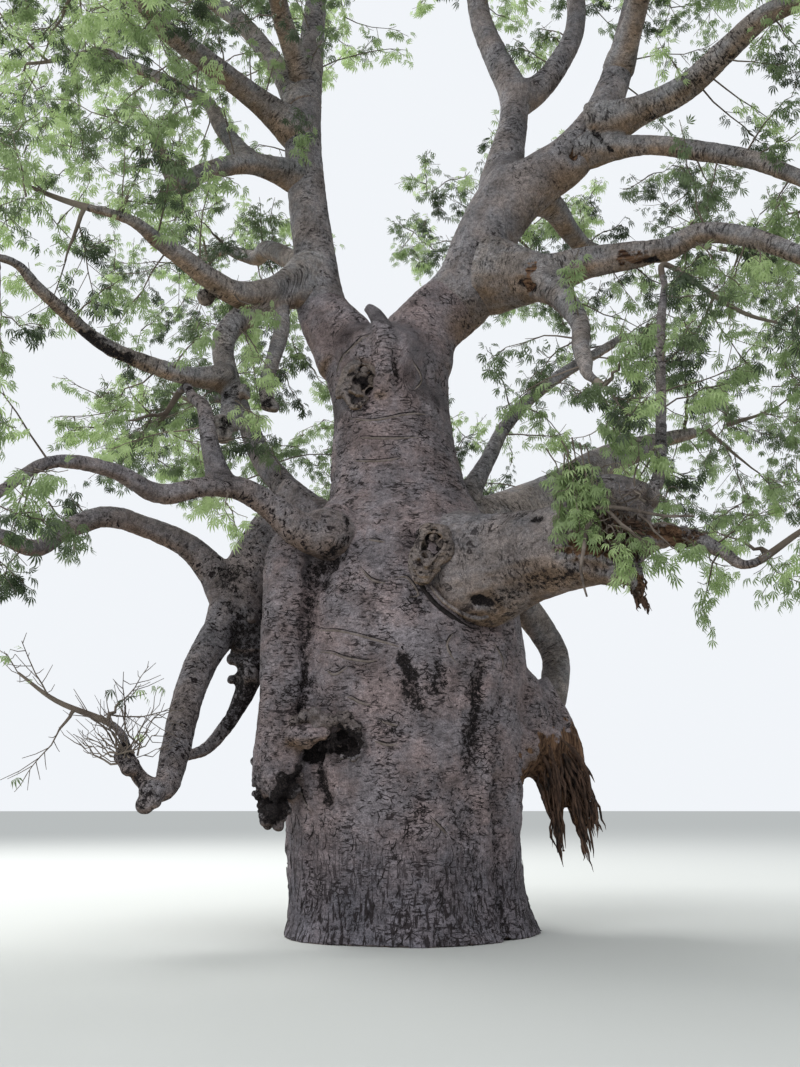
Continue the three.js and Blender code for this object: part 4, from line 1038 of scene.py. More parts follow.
DASH_TURN, DASH_LEAN = 0.6, 0.45  # how far dashes turn from level, on the front and all round
DASH_BOW = 0.2
ALL_ROUND_COUNT = 1760
FISSURE_SHARE = (2, 9)  # of all round, so many are upright fissures at the foot
FISSURE_HEIGHTS, DASH_HEIGHTS = (0.05, 1.5), (0.6, 8.0)
FISSURE_STRETCH = 2.5
RAY_START, RAY_RADIUS = -6, 5  # where rays to the skin begin, in front and round it
STEEPEST = 0.8  # a skin that faces up or down more than this has no dashes
CRACK_STEP = 0.05
CRACK_WAVER = 0.012
CRACK_GIRTH = 0.019
LIP_GIRTH = 0.018
LIP_DROP = 0.03
CRACK_LOWEST = 0.03
CRACK_SUNK = 0.35  # share of the girth by which a crack's middle lies under the skin
CRACK_SEED = 3


def sweep_tree():
    """Geometry nodes that sweep a round section along every line, as thick as its points say."""
    tree, add, stored, given = node_group("round_sweep", {"sides": "Int", "finish": "Material"})
    lines = add("GeometryNodeMeshToCurve", Mesh=given["Geometry"]).outputs[0]
    section = add("GeometryNodeCurvePrimitiveCircle", Resolution=given["sides"], Radius=1.0).outputs[0]
    swept = add("GeometryNodeCurveToMesh", Curve=lines, Profile_Curve=section, Scale=stored("girth"),
                Fill_Caps=True)
    finish_group(add, swept.outputs[0], given["finish"])
    return tree


round_sweep = sweep_tree()


def sweep(name, lines, sides, finish, *nodes, slot="bark"):
    """One piece of round sweeps, one for each line of points and girths, for some of the nodes."""
    edges, start = [], 0
    for line, _ in lines:
        edges += [(start + i, start + i + 1) for i in range(len(line) - 1)]
        start += len(line)
    mesh = bpy.data.meshes.new(name)
    mesh.from_pydata(np.vstack([line for line, _ in lines]), edges, [])
    store(mesh, "girth", np.concatenate([girths for _, girths in lines]))
    item = link(name, mesh)
    run_nodes(item, round_sweep, {"sides": sides, "finish": finish})
    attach(item, "root")
    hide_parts(*nodes)


def thin_wood_finish(name, dark, light, scale, stretch):
    """Bare or thinly barked wood: two tones in streaks, with a fine grain."""
    material, add = blank_material(name)
    spot = add("ShaderNodeTexCoord").outputs["Object"]
    drawn = add("ShaderNodeVectorMath", spot, (1, 1, stretch), operation="MULTIPLY").outputs[0]
    tint = add("ShaderNodeTexNoise", Vector=drawn, Scale=scale, Detail=4.0, Roughness=0.65).outputs["Fac"]
    grain = add("ShaderNodeTexNoise", Vector=spot, Scale=60.0, Detail=4.0).outputs["Fac"]
    ramp = add("ShaderNodeValToRGB", Fac=tint)
    for element, place, colour in zip(ramp.color_ramp.elements, (0.36, 0.64), (dark, light)):
        element.position = place
        element.color = colour
    bump = add("ShaderNodeBump", Strength=0.6, Distance=0.01, Height=grain).outputs[0]
    shader = add("ShaderNodeBsdfPrincipled", Base_Color=ramp.outputs[0], Roughness=0.88, Normal=bump)
    shader.inputs["Specular IOR Level"].default_value = 0.25
    add("ShaderNodeOutputMaterial", Surface=shader.outputs[0])
    return material


bpy.context.view_layer.update()
trunk_seen = trunk_item.evaluated_get(bpy.context.evaluated_depsgraph_get())


def on_skin(begin, way):
    """Where a ray first meets the trunk's skin, and the skin's facing there."""
    hit, place, facing, _ = trunk_seen.ray_cast([float(c) for c in begin], [float(c) for c in way])
    return (np.array(place), np.array(facing)) if hit else (None, None)


def laid_line(points, girth):
    """A tapered line that follows the front of the skin through points given as x and z."""
    steps = max(4, int(strides(points).sum() / CRACK_STEP))
    line = []
    for x, z in curve_at(points, np.linspace(0, 1, steps)):
        place, facing = on_skin((x, RAY_START, z), FORWARD)
        if place is not None:
            line.append(place - facing * girth * CRACK_SUNK)
    taper = np.interp(np.linspace(0, 1, len(line)), [0, 0.3, 0.7, 1], [0.2, 1, 1, 0.2])
    return np.array(line), girth * taper


def dash(begin, way, along, girth):
    """Adds a short tapered line on the skin, where a ray meets it, drawn along a way."""
    place, facing = on_skin(begin, way)
    if place is None or abs(facing[2]) > STEEPEST:
        return
    along = along - facing * (along @ facing)
    bow = np.cross(facing, along) * DASH_BOW
    share = np.linspace(-0.5, 0.5, 4)[:, None]
    line = place + along * share + bow * (4 * share**2 - 0.5) - facing * girth * CRACK_SUNK
    line[:, 2] = np.maximum(line[:, 2], CRACK_LOWEST)
    cracks.append((line, girth * np.array([0.25, 1, 0.9, 0.25])))


chance = np.random.RandomState(CRACK_SEED)
cracks, lips = [], []
for points in LONG_CRACKS + [COLLAR_CRACK]:
    stout = 2.0 if points is COLLAR_CRACK else 1.0
    wavy = np.array(points) + chance.normal(0, CRACK_WAVER, (len(points), 2))
    cracks.append(laid_line(wavy, CRACK_GIRTH * stout))
    if points is not COLLAR_CRACK:
        lips.append(laid_line(wavy - np.array([0, LIP_DROP]), LIP_GIRTH))
for x, z, wide, tall, count in CRACK_CLUSTERS:
    for _ in range(count):
        spot = np.array([x + chance.normal(0, 0.5) * wide, RAY_START, z + chance.normal(0, 0.5) * tall])
        turn = chance.normal(0, DASH_TURN)
        along = np.array([math.cos(turn), 0, math.sin(turn)]) * chance.uniform(*DASH_LENGTH)
        dash(spot, FORWARD, along, chance.uniform(*DASH_GIRTH))
first = len(LONG_CRACKS) + 1 + sum(cluster[-1] for cluster in CRACK_CLUSTERS)
for number in range(first, first + ALL_ROUND_COUNT):
    turn = chance.uniform(0, 2 * math.pi)
    low = number % FISSURE_SHARE[1] < FISSURE_SHARE[0]
    z = chance.uniform(*(FISSURE_HEIGHTS if low else DASH_HEIGHTS))
    spot = np.array([RAY_RADIUS * math.cos(turn), RAY_RADIUS * math.sin(turn), z])
    level = np.array([-math.sin(turn), math.cos(turn), 0]) + UP * chance.normal(0, DASH_LEAN)
    along = UP + level * 0.2 if low else level
    along = unit(along) * chance.uniform(*DASH_LENGTH) * (FISSURE_STRETCH if low else 1)
    dash(spot, -unit(spot * np.array([1, 1, 0])), along, chance.uniform(*DASH_GIRTH))
crack_wood = thin_wood_finish("crack_wood", (0.006, 0.005, 0.005, 1), (0.026, 0.02, 0.02, 1), 20.0, 1)
lip_wood = thin_wood_finish("lip_wood", (0.1, 0.08, 0.068, 1), (0.2, 0.17, 0.155, 1), 14.0, 1)
sweep("bark_cracks", cracks, 3, crack_wood, "trunk")
sweep("bark_lips", lips, 6, lip_wood, "trunk")


# Hanging strips: where the bulge on the right was torn, dark brown fibrous wood hangs in ragged
# tails. The solid part belongs to the trunk's skin; the loose shreds are seeded round sweeps.
STRIP_PATHS = [
    [[1.95, -0.16, 2.5], [2.08, -0.12, 1.8], [2.2, -0.02, 0.95]],
    [[2.15, 0.02, 2.5], [2.42, 0.06, 1.75], [2.58, 0.12, 0.92]],
    [[2.2, -0.05, 2.5], [2.52, -0.02, 2.0], [2.7, 0.03, 1.3]],
]
SHREDS_ON_STRIP = 34
SHRED_SPREAD = 0.08
SHRED_GIRTH = (0.012, 0.034)
SHRED_STEPS = 8
SHRED_WANDER = 0.014
SHRED_SEED = 5


def shreds(chance, path, count, spread, begin, lengths):
    """Loose wandering shreds that follow a path, thinnest at their ends."""
    lines = []
    for _ in range(count):
        start = chance.uniform(*begin)
        share = np.linspace(start, min(1, start + chance.uniform(*lengths)), SHRED_STEPS)
        line = curve_at(path, share) + chance.normal(0, spread, 3) * (1 - 0.5 * share[:, None])
        line += np.cumsum(chance.normal(0, SHRED_WANDER, (SHRED_STEPS, 3)), axis=0)
        profile = np.interp(np.arange(SHRED_STEPS), [0, 2, 5, SHRED_STEPS - 1], [0.4, 1, 0.8, 0.1])
        lines.append((line, chance.uniform(*SHRED_GIRTH) * profile))
    return lines


torn_wood = thin_wood_finish("torn_wood", (0.01, 0.007, 0.006, 1), (0.105, 0.062, 0.042, 1), 13.0, 0.3)
chance = np.random.RandomState(SHRED_SEED)
strip_lines = []
for path in STRIP_PATHS:
    strip_lines += shreds(chance, path, SHREDS_ON_STRIP, SHRED_SPREAD, (0, 0.75), (0.2, 0.5))
sweep("torn_strips", strip_lines, 5, torn_wood, "trunk")


# Leaders: the smooth grey limbs that carry the crown, of the same wood as the trunk. Their skin
# starts inside the trunk's stubs.
BOUGH_TONES = [(0.215, 0.205, 0.216, 1), (0.24, 0.205, 0.195, 1), (0.23, 0.158, 0.11, 1)]
LEADER_SLIM = 0.6  # share of the stub over which a leader's skin comes out of it

bough_bark = bark_finish("bough_bark", *BOUGH_TONES, marks=0.8, stretch=(7.0, 9.5), cracked=0.3)
leader_shells = [limb_shell(limb, slim=0 if limb["parent"] else LEADER_SLIM * LEADER_STUB)
                 for limb in leaders]
leaders_item = fuse("leaders", leader_shells, LEADER_VOXEL)
bark_piece(leaders_item, leaders, bough_bark, marks=[
    (0.09, -0.12, 0.8, 0.7, [on_limb("east_leader", 0.62, (0.2, -1, -0.3)),
     on_limb("east_leader", 0.68, (0.2, -1, 0))]),
    (0.16, -0.05, 0.4, 0, [on_limb("east_leader", 0.3, (0.6, -0.8, -0.4)),
     on_limb("east_leader", 0.35, (0.8, -0.6, -0.6))]),
    (0.35, 0, 0.33, 0, [(1.05, -0.69, 9.69), (0.9, -0.6, 9), (0.75, -0.75, 8.6)]),
], rounds=10)


# Boughs high on the left: long kinked limbs that leave the left leader, with healed knobs at their
# kinks and a short dead stub that hangs from one. Each skin starts inside its parent with a swollen
# collar, and runs on into the stem of the leaves it carries.
HIGH_WEST_BOUGHS = [
    ("high_west_bough", ("west_leader", 0.7), 0.25,
     [(0.95, 240, 25, 0.19), (1, 230, 15, 0.17), (0.75, 220, 5, 0.15), (0.65, 210, 10, 0.12)], (0.2, 3.0),
      (1.5, 225, 10, 3.1, 2.4, 7, 3, 1.3)),
    ("rising_west_bough", ("west_leader", 0.75), 0.23,
     [(1.6, 310, 60, 0.17), (1.6, 305, 55, 0.16), (1.35, 295, 45, 0.13)], (0.15, 2.6),
      (1.3, 300, 20, 2.8, 2.2, 6, 3, 1.3)),
    ("kinked_west_bough", ("west_leader", 0.6), 0.21,
     [(1, 235, -5, 0.16), (0.9, 235, -30, 0.14), (0.6, 220, -45, 0.13), (0.45, 215, 40, 0.1),
      (0.45, 205, 45, 0.09)], (0.25, 3.2)),
    ("upper_west_arm", ("kinked_west_bough", 0.2), 0.14,
     [(1, 295, 55, 0.13), (0.7, 305, 60, 0.11), (0.8, 300, 40, 0.12), (1.55, 290, 35, 0.09)], (0.1, 2.8),
      (1.6, 285, 10, 2.9, 2.2, 6, 3, 1.3)),
    ("mid_west_bough", ("west_leader", 0.4), 0.25,
     [(1, 225, -40, 0.2), (0.7, 230, -25, 0.19), (0.5, 230, 10, 0.16), (0.5, 230, 20, 0.14),
      (0.45, 225, 15, 0.11)], (0.35, 2.6), (1.3, 250, 15, 2.4, 1.8, 5, 3, 1.1)),
    ("hanging_west_limb", ("west_leader", 0.35), 0.25,
     [(0.75, 230, -30, 0.2), (0.95, 245, -40, 0.18), (0.5, 225, -70, 0.16), (0.65, 120, -75, 0.16),
      (0.7, 165, -80, 0.13)], (0.3, 2.2)),
    ("reaching_west_arm", ("hanging_west_limb", 0.75), 0.16,
     [(0.6, 235, -10, 0.13), (0.55, 240, 5, 0.12), (0.7, 235, 10, 0.12), (0.65, 225, 25, 0.09),
      (0.45, 220, 25, 0.08)], (0.3, 2.0), (1.4, 235, 5, 2.6, 1.9, 5, 3, 1)),
]
WEST_KNOBS = [
    ((-2.45, -1.1, 6.62), 0.14), ((-2.36, -1.14, 6.56), 0.09), ((-2.5, -1.12, 6.78), 0.13),
    ((-2.22, -1.04, 7.3), 0.12), ((-2.16, -1.02, 7.24), 0.08), ((-2.82, -0.95, 8.78), 0.13),
    ((-1.88, -0.78, 7.2), 0.13), ((-1.8, -0.8, 7.14), 0.09),
]
STUB_PATH = [
    [-1.78, -0.4, 8.85], [-1.75, -0.62, 8.4], [-1.84, -0.74, 7.9], [-1.93, -0.76, 7.5],
    [-1.88, -0.78, 7.15],
]
STUB_GIRTHS = [0.12, 0.12, 0.11, 0.1, 0.13]
BOUGH_VOXEL = 0.026
BACK_VOXEL = 0.031
YOUNG_TONES = [(0.235, 0.228, 0.236, 1), (0.262, 0.225, 0.205, 1), (0.26, 0.178, 0.12, 1)]

young_bark = bark_finish("young_bark", *YOUNG_TONES, marks=0.8, cracked=0.4)


def bough_group(name, rows, voxel=BOUGH_VOXEL, extra=(), marks=(), bark=young_bark, relief=None):
    """Grows some boughs, where they aren't grown yet, and gives them one fused, finished skin."""
    if rows[0][0] not in limbs:
        grow(rows)
    own = [limbs[row[0]] for row in rows]
    item = fuse(name, [limb_shell(limb) for limb in own] + list(extra), voxel)
    bark_piece(item, own, bark, marks=marks, relief=relief, rounds=8)


knobs = [ball_shell(place, radius) for place, radius in WEST_KNOBS]
knobs.append(strip_shell(STUB_PATH, STUB_GIRTHS))
bough_group("high_west_boughs", HIGH_WEST_BOUGHS, extra=knobs, marks=[
    (0.17, -0.04, 0.62, 0, [(-4.15, -2.1, 7.61), (-3.94, -1.95, 7.51), (-3.73, -1.77, 7.44)]),
    (0.18, 0, 0.55, 0, [(-2.43, -1.12, 6.71)]),
    (0.13, -0.03, 0.5, 0, [(-2.46, -1.07, 7.22), (-2.3, -1.05, 7.3)]),
    (0.25, 0, 0.52, 0, [(-2.78, -0.99, 8.85)]),
    (0.14, -0.04, 0.65, 0, [(-1.88, -0.86, 7.2)]),
])


# Boughs low on the left: the grey knob and its long level bough, the stout limb that droops to the
# ground, the burled limb in its crook, and the one behind them.
LOW_WEST_BOUGHS = [
    ("west_bough", (-0.65, -0.8, 5.2), 0.36,
     [(0.6, 215, -5, 0.36), (0.4, 235, 0, 0.24), (0.5, 250, 35, 0.18), (0.45, 250, 25, 0.16),
      (0.5, 245, -5, 0.13), (0.55, 250, -15, 0.13), (0.7, 230, 15, 0.1), (0.75, 230, -5, 0.08),
      (0.75, 225, -40, 0.07)], (0.45, 1.4), (1.2, 225, -5, 2.4, 1.7, 5, 3, 0.6)),
    ("west_upright", ("west_bough", 0.5), 0.14,
     [(0.65, 300, 70, 0.12), (0.6, 320, 70, 0.1), (0.35, 315, 40, 0.08)], (0.3, 1.6),
      (1, 320, -5, 1.7, 1.2, 5, 3, 0.7)),
    ("drooping_west_limb", (-1.3, 0.2, 5.8), 0.51,
     [(0.7, 260, -40, 0.44), (0.85, 245, -55, 0.37), (0.75, 215, -60, 0.25), (0.6, 215, -55, 0.22),
      (0.7, 200, -60, 0.2), (0.75, 190, -65, 0.19), (0.5, 190, -55, 0.14), (0.3, 260, 25, 0.1),
      (0.35, 255, 60, 0.07)], (), (1.1, 260, 35, 1.7, 1.2, 5, 1, 0.25)),
    ("low_west_bough", ("drooping_west_limb", 0.25), 0.26,
     [(0.5, 265, 50, 0.2), (0.55, 245, 40, 0.17), (0.65, 250, 20, 0.15), (0.55, 235, 5, 0.15),
      (0.6, 250, -25, 0.14), (0.45, 230, -40, 0.12), (0.5, 230, 10, 0.1)], (0.4, 1.2),
      (1.5, 250, 10, 2.5, 1.7, 5, 3, 0.8)),
    ("burled_limb", ("drooping_west_limb", 0.25), 0.24,
     [(0.65, 95, -70, 0.24), (0.45, 115, -85, 0.18), (0.55, 240, -70, 0.11), (0.6, 255, -55, 0.09),
      (0.35, 250, -25, 0.07)], ()),
    ("back_west_bough", (-1.05, 0.7, 5.75), 0.28,
     [(1.1, 305, 40, 0.22), (1.05, 315, 45, 0.2), (1.15, 320, 55, 0.16)], (0.4, 1.8),
      (1.6, 315, 25, 2.9, 2.2, 6, 3, 1)),
]
LOW_TONES = [(0.19, 0.178, 0.19, 1), (0.21, 0.175, 0.168, 1), (0.165, 0.115, 0.09, 1)]
HOOK_LUMPS = [
    ((-3.02, -1.72, 1.78), 0.17), ((-3.08, -1.8, 1.64), 0.12), ((-2.96, -1.82, 1.68), 0.09),
    ((-3.3, -1.77, 2.1), 0.13), ((-3.4, -1.8, 2.2), 0.1),
]
BURL_LUMPS = 46
BURL_FRACTIONS = (0.02, 0.1, 0.17, 0.25, 0.34, 0.42)

grow(LOW_WEST_BOUGHS)
burled = []
burled_path = limbs["burled_limb"]["points"]
for fraction in BURL_FRACTIONS:  # swollen rings and lumps of healed bark
    middle = curve_at(burled_path, fraction)[0]
    swell = girth_at(limbs["burled_limb"]["girths"], fraction)[0]
    burled.append(lump_shell(middle, (1.3 * swell, 1.3 * swell, 0.45 * swell)))
    burled += [ball_shell(middle + chance.normal(0, 1, 3) * swell * 0.75, 0.4 * swell) for _ in range(4)]
for place in curve_at(burled_path[:3], chance.rand(BURL_LUMPS)):
    burled.append(ball_shell(place + chance.normal(0, 0.11, 3), chance.uniform(0.06, 0.13)))
burled += [ball_shell(place, radius) for place, radius in HOOK_LUMPS]
hook = limbs["drooping_west_limb"]["points"]
low_bark = bark_finish("low_bark", *LOW_TONES, marks=1.0, stretch=(7.0, 9.5), cracked=0.5)
bough_group("low_west_boughs", LOW_WEST_BOUGHS, bark=low_bark, extra=burled,
            relief={"lump_height": 0.03, "pit_depth": 0.028}, marks=[
    # the knob's crease, painted dark as shade
    (0.1, 0, 0.6, 0, KNOB_EDGE),
    (0.3, 0, 0.5, 0, [(-2.39, -0.46, 4.77)]),
    (0.32, 0, 0.52, 0, [(-2.15, -0.48, 4.12), (-2.21, -0.42, 3.71)]),
    (0.42, 0, 0.55, 0, burled_path[:4]),
    (0.35, 0, 0.36, 0, hook[3:8]),
    (0.3, 0, 0.45, 0, [(-3.1, -1.8, 1.7), (-3.35, -1.8, 2.15)]),
])


# Boughs on the right that leave the right leader, one of them torn open near its root.
EAST_BOUGHS = [
    ("far_east_bough", ("east_leader", 0.7), 0.3,
     [(0.75, 120, 5, 0.21), (0.75, 115, 15, 0.2), (0.7, 130, 25, 0.18), (0.65, 130, 25, 0.16),
      (0.55, 135, -5, 0.14)], (0.35, 2.2), (1.6, 110, 15, 3.1, 2.3, 7, 3, 1)),
    ("level_east_bough", ("east_leader", 0.65), 0.22,
     [(1.1, 115, -10, 0.14), (0.8, 110, -20, 0.15), (0.85, 125, -30, 0.13), (0.85, 125, -40, 0.11)],
      (0.2, 2.6), (1.6, 85, 10, 2.8, 2, 6, 3, 1)),
    ("mid_east_bough", ("east_leader", 0.3), 0.46,
     [(0.7, 115, -15, 0.38), (0.55, 125, -15, 0.3), (0.55, 110, 10, 0.23), (0.6, 120, -5, 0.2),
      (0.6, 110, 0, 0.17), (0.5, 115, 15, 0.15), (0.65, 120, -20, 0.14), (0.8, 120, -35, 0.12)],
      (0.35, 2.4), (1.6, 125, -25, 2.8, 2, 6, 3, 1)),
    ("hanging_east_limb", ("mid_east_bough", 0.2), 0.22,
     [(0.85, 150, -45, 0.18), (0.85, 165, -50, 0.13), (0.7, 190, -50, 0.12), (0.45, 180, -55, 0.1)],
      (0.2, 2.6), (0.7, 165, -45, 1.3, 1.1, 4, 3, 1.2)),
]
bough_group("east_boughs", EAST_BOUGHS, marks=[
    (0.07, -0.05, 0.62, 0, [(1.84, -0.92, 9.3), (1.8, -0.9, 9.1), (1.78, -0.88, 8.95)]),
    (0.13, -0.04, 0, 0.7, [(1.95, -0.95, 9.22), (1.9, -0.93, 9.02)]),
    (0.1, -0.05, 0.75, 0, [(1.93, -0.95, 8.93), (2.05, -1, 8.9)]),
    (0.16, -0.03, 0, 0.55, [(3.15, -1.5, 9.15), (3.4, -1.48, 9.1)]),
    (0.11, -0.05, 0.7, 0, [(3.5, -1.46, 9.05), (3.6, -1.45, 9.02)]),
    (0.06, -0.04, 0.62, 0, [(2.96, -0.84, 11.6), (3.08, -0.85, 11.44), (3.2, -0.86, 11.28)]),
    (0.07, -0.03, 0.62, 0, [(3.4, -0.95, 11.56), (3.62, -1, 11.57)]),
    (0.14, -0.03, 0.55, 0, [(3.81, -0.98, 11.77)]),
    (0.14, 0, 0.42, 0, [(4.31, -1.39, 12.02), (4.65, -1.56, 12.14), (4.84, -1.7, 12.3)]),
])


# The great bough low on the right, as stout as a tree, snapped off in the past. Its end is torn
# open between two lips of wood, and a spur and an upright shoot still live on it.
GREAT_BOUGH = [
    ("great_east_bough", (0.65, -0.5, 4.75), 0.7,
     [(0.75, 145, -5, 0.58), (0.75, 130, 5, 0.51), (0.65, 130, 5, 0.52), (0.55, 120, 5, 0.54),
      (0.3, 120, 0, 0.42), (0.3, 110, -5, 0.2), (0.45, 105, -15, 0.12), (0.3, 115, -30, 0.08)], (0.72, 4.0),
      (1.1, 95, 15, 1.6, 1.1, 4, 3, 0.8)),
    ("east_upright", ("great_east_bough", 0.62), 0.11,
     [(0.8, 90, 65, 0.08), (1.05, 45, 80, 0.07), (1.05, 50, 85, 0.07), (0.7, 45, 75, 0.05)], (0.15, 2.6),
      (1.1, 75, -10, 1.8, 1.2, 5, 3, 1.1)),
]
BROKEN_LIPS = [
    ([[2.15, -2.1, 5.2], [2.6, -2.35, 5.38], [3.05, -2.5, 5.32]], [0.26, 0.27, 0.16]),
    ([[2.3, -2.2, 4.55], [2.7, -2.42, 4.42], [2.84, -2.48, 4.26], [2.88, -2.5, 4.05]],
     [0.26, 0.24, 0.12, 0.05]),
]
GREAT_BOUGH_MARKS = [
    (0.25, -0.42, 0.55, 1, [(2.5, -2.72, 5), (2.95, -2.8, 4.98)]),
    (0.24, -0.2, 0.3, 1, [(2.25, -2.6, 4.7), (2.75, -2.8, 4.65)]),
    (0.2, -0.08, 0, 1, [(3, -2.6, 4.9), (3.25, -2.65, 4.8)]),
    (0.2, 0, 0.4, 0.8, [(3, -2.7, 4.2), (3, -2.6, 4)]),
    (0.2, -0.03, 0.45, 0, [(1.2, -1.7, 4.12), (1.6, -1.98, 4.22), (2.1, -2.35, 4.32)]),
    (0.08, 0.04, 0, 0, [(0.62, -1.3, 5.3), (1.1, -1.45, 5.25), (1.6, -1.8, 5.28)]),
    (0.1, -0.08, 0.8, 0, [(1, -1.68, 4.17), (1.14, -1.63, 4.12)]),
    (0.12, -0.04, 0.4, 0, [(1.6, -1.91, 5.28)]),
    (0.09, -0.07, 0.6, 0, [(1.7, -2.2, 5.15), (1.76, -2.22, 5.1)]),
]
SPUR_PLACE = np.array([3.46, -2.64, 4.72])
SPUR_SPIKES = 12
TORN_PATHS = [
    [[2.3, -2.5, 4.95], [2.7, -2.72, 4.92], [3.15, -2.85, 4.8]],
    [[2.35, -2.45, 4.7], [2.7, -2.68, 4.6], [3.0, -2.75, 4.4]],
    [[2.8, -2.5, 4.45], [2.87, -2.52, 4.1], [2.9, -2.52, 3.78]],
]
SPLINTERS = 26
SPLINTER_SPREAD = 0.045
DEAD_TWIGS = 44
DEAD_STICKS = [
    [[2.35, -2.7, 5.2], [2.5, -2.82, 5.0], [2.75, -2.85, 4.75], [2.95, -2.8, 4.62]],
    [[2.2, -2.7, 5.1], [2.6, -2.9, 5.05], [3.1, -2.95, 4.95], [3.5, -2.9, 4.95]],
    [[2.3, -2.75, 4.95], [2.15, -2.9, 4.6], [2.12, -2.95, 4.25], [2.15, -2.95, 3.95]],
]
SPLINTER_SEED = 11

chance = np.random.RandomState(SPLINTER_SEED)
great_extra = [strip_shell(*lip) for lip in BROKEN_LIPS]
for _ in range(SPUR_SPIKES):
    way = unit(chance.normal(0, 1, 3) + np.array([0.5, -0.3, -0.3]))
    spike = SPUR_PLACE + way[None, :] * np.linspace(0, chance.uniform(0.14, 0.27), 5)[:, None]
    great_extra.append(tube_shell(spike, np.linspace(0.08, 0.014, 5), 8))
bough_group("great_bough", GREAT_BOUGH, extra=great_extra, bark=bough_bark,
            marks=GREAT_BOUGH_MARKS + [
    (0.3, 0, 0.5, 0.45, [SPUR_PLACE]),
])

splinters = []
for path in TORN_PATHS:
    splinters += shreds(chance, path, SPLINTERS, SPLINTER_SPREAD, (0, 0.6), (0.15, 0.35))
sweep("torn_end", splinters, 5, torn_wood, "great_east_bough")
dead_twigs = []
for stick in DEAD_STICKS:
    line = curve_at(stick, np.linspace(0, 1, 9)) + chance.normal(0, 0.012, (9, 3))
    dead_twigs.append((line, np.linspace(0.034, 0.012, 9)))
for _ in range(DEAD_TWIGS):  # dead shoots that still stand and hang in the torn hollow
    root = np.array([chance.uniform(2.3, 3.1), chance.uniform(-2.75, -2.6), chance.uniform(4.7, 5.25)])
    reach = np.array([chance.normal(0, 0.35), chance.uniform(-0.35, 0.05), chance.normal(-0.15, 0.4)])
    share = np.linspace(0, 1, 7)[:, None]
    line = root + reach * share + np.cumsum(chance.normal(0, 0.035, (7, 3)), axis=0)
    dead_twigs.append((line, np.linspace(chance.uniform(0.008, 0.02), 0.003, 7)))
dead_bark = thin_wood_finish("dead_bark", (0.05, 0.038, 0.032, 1), (0.2, 0.165, 0.14, 1), 5.0, 1)
sweep("dead_twigs", dead_twigs, 5, dead_bark, "great_east_bough")


# Boughs behind, on the right: three that rise from the shoulder and the leader, and a limb that
# loops down beside the trunk.
BACK_EAST_BOUGHS = [
    ("back_east_bough", (0.95, 0.4, 5.45), 0.45,
     [(1.2, 60, 30, 0.39), (0.95, 60, 30, 0.34), (1.05, 60, 35, 0.27), (1.2, 55, 25, 0.21)], (0.4, 1.8),
      (1.6, 70, 20, 3, 2.2, 6, 3, 1)),
    ("looping_east_limb", (1.35, 0.9, 5.1), 0.26,
     [(0.75, 70, -40, 0.23), (0.6, 90, -55, 0.21), (0.4, 110, -70, 0.21), (0.65, 205, -65, 0.22),
      (0.4, 225, -50, 0.22)], ()),
    ("inner_east_limb", (0.8, 0.2, 5.75), 0.18,
     [(1.15, 70, 60, 0.12), (0.65, 55, 60, 0.11), (0.75, 65, 50, 0.11), (0.9, 65, 40, 0.1),
      (1.15, 65, 35, 0.08)], (0.3, 2.2), (1.2, 50, 20, 2.1, 1.6, 5, 3, 1.2)),
    ("back_east_arm", ("east_leader", 0.5), 0.22,
     [(0.65, 50, -5, 0.18), (0.6, 40, -20, 0.16), (0.65, 40, -5, 0.15), (1.05, 50, 10, 0.14),
      (1.35, 50, 30, 0.13)], (0.3, 1.8), (1.6, 60, 15, 3, 2.2, 6, 3, 1)),
]
bough_group("back_east_boughs", BACK_EAST_BOUGHS, voxel=BACK_VOXEL)


# Boughs at the back and at the front of the crown, which make it full from all sides.
OUTER_BOUGHS = [
    ("north_bough", (-0.1, 0.8, 5.5), 0.42,
     [(1.3, 5, 25, 0.34), (1.2, 350, 35, 0.27), (1.2, 10, 45, 0.22), (1.1, 0, 30, 0.17)], (0.35, 1.6),
      (1.5, 355, 20, 3.1, 2.3, 6, 3, 1)),
    ("north_west_bough", ("west_leader", 0.4), 0.24,
     [(1.2, 340, 30, 0.19), (1.2, 320, 35, 0.16), (1.1, 340, 20, 0.14), (1, 325, 30, 0.12)], (0.3, 1.8),
      (1.5, 325, 20, 3, 2.2, 6, 3, 1)),
    ("north_high_bough", ("east_leader", 0.32), 0.28,
     [(1.2, 15, 35, 0.21), (1.2, 5, 45, 0.18), (1.1, 25, 40, 0.15), (1, 10, 30, 0.12)], (0.3, 1.8),
      (1.5, 10, 20, 3, 2.2, 6, 3, 1)),
    ("south_west_bough", ("west_leader", 0.8), 0.19,
     [(1.1, 205, 40, 0.16), (1.1, 190, 30, 0.13), (1, 205, 35, 0.1)], (0.3, 2.2),
      (1.3, 200, 15, 2.8, 2.1, 6, 3, 1)),
    ("south_east_bough", ("east_leader", 0.8), 0.19,
     [(1.1, 165, 40, 0.16), (1.1, 180, 30, 0.13), (1, 165, 35, 0.1)], (0.3, 2.2),
      (1.3, 165, 15, 2.8, 2.1, 6, 3, 1)),
]
bough_group("outer_boughs", OUTER_BOUGHS, voxel=BACK_VOXEL)


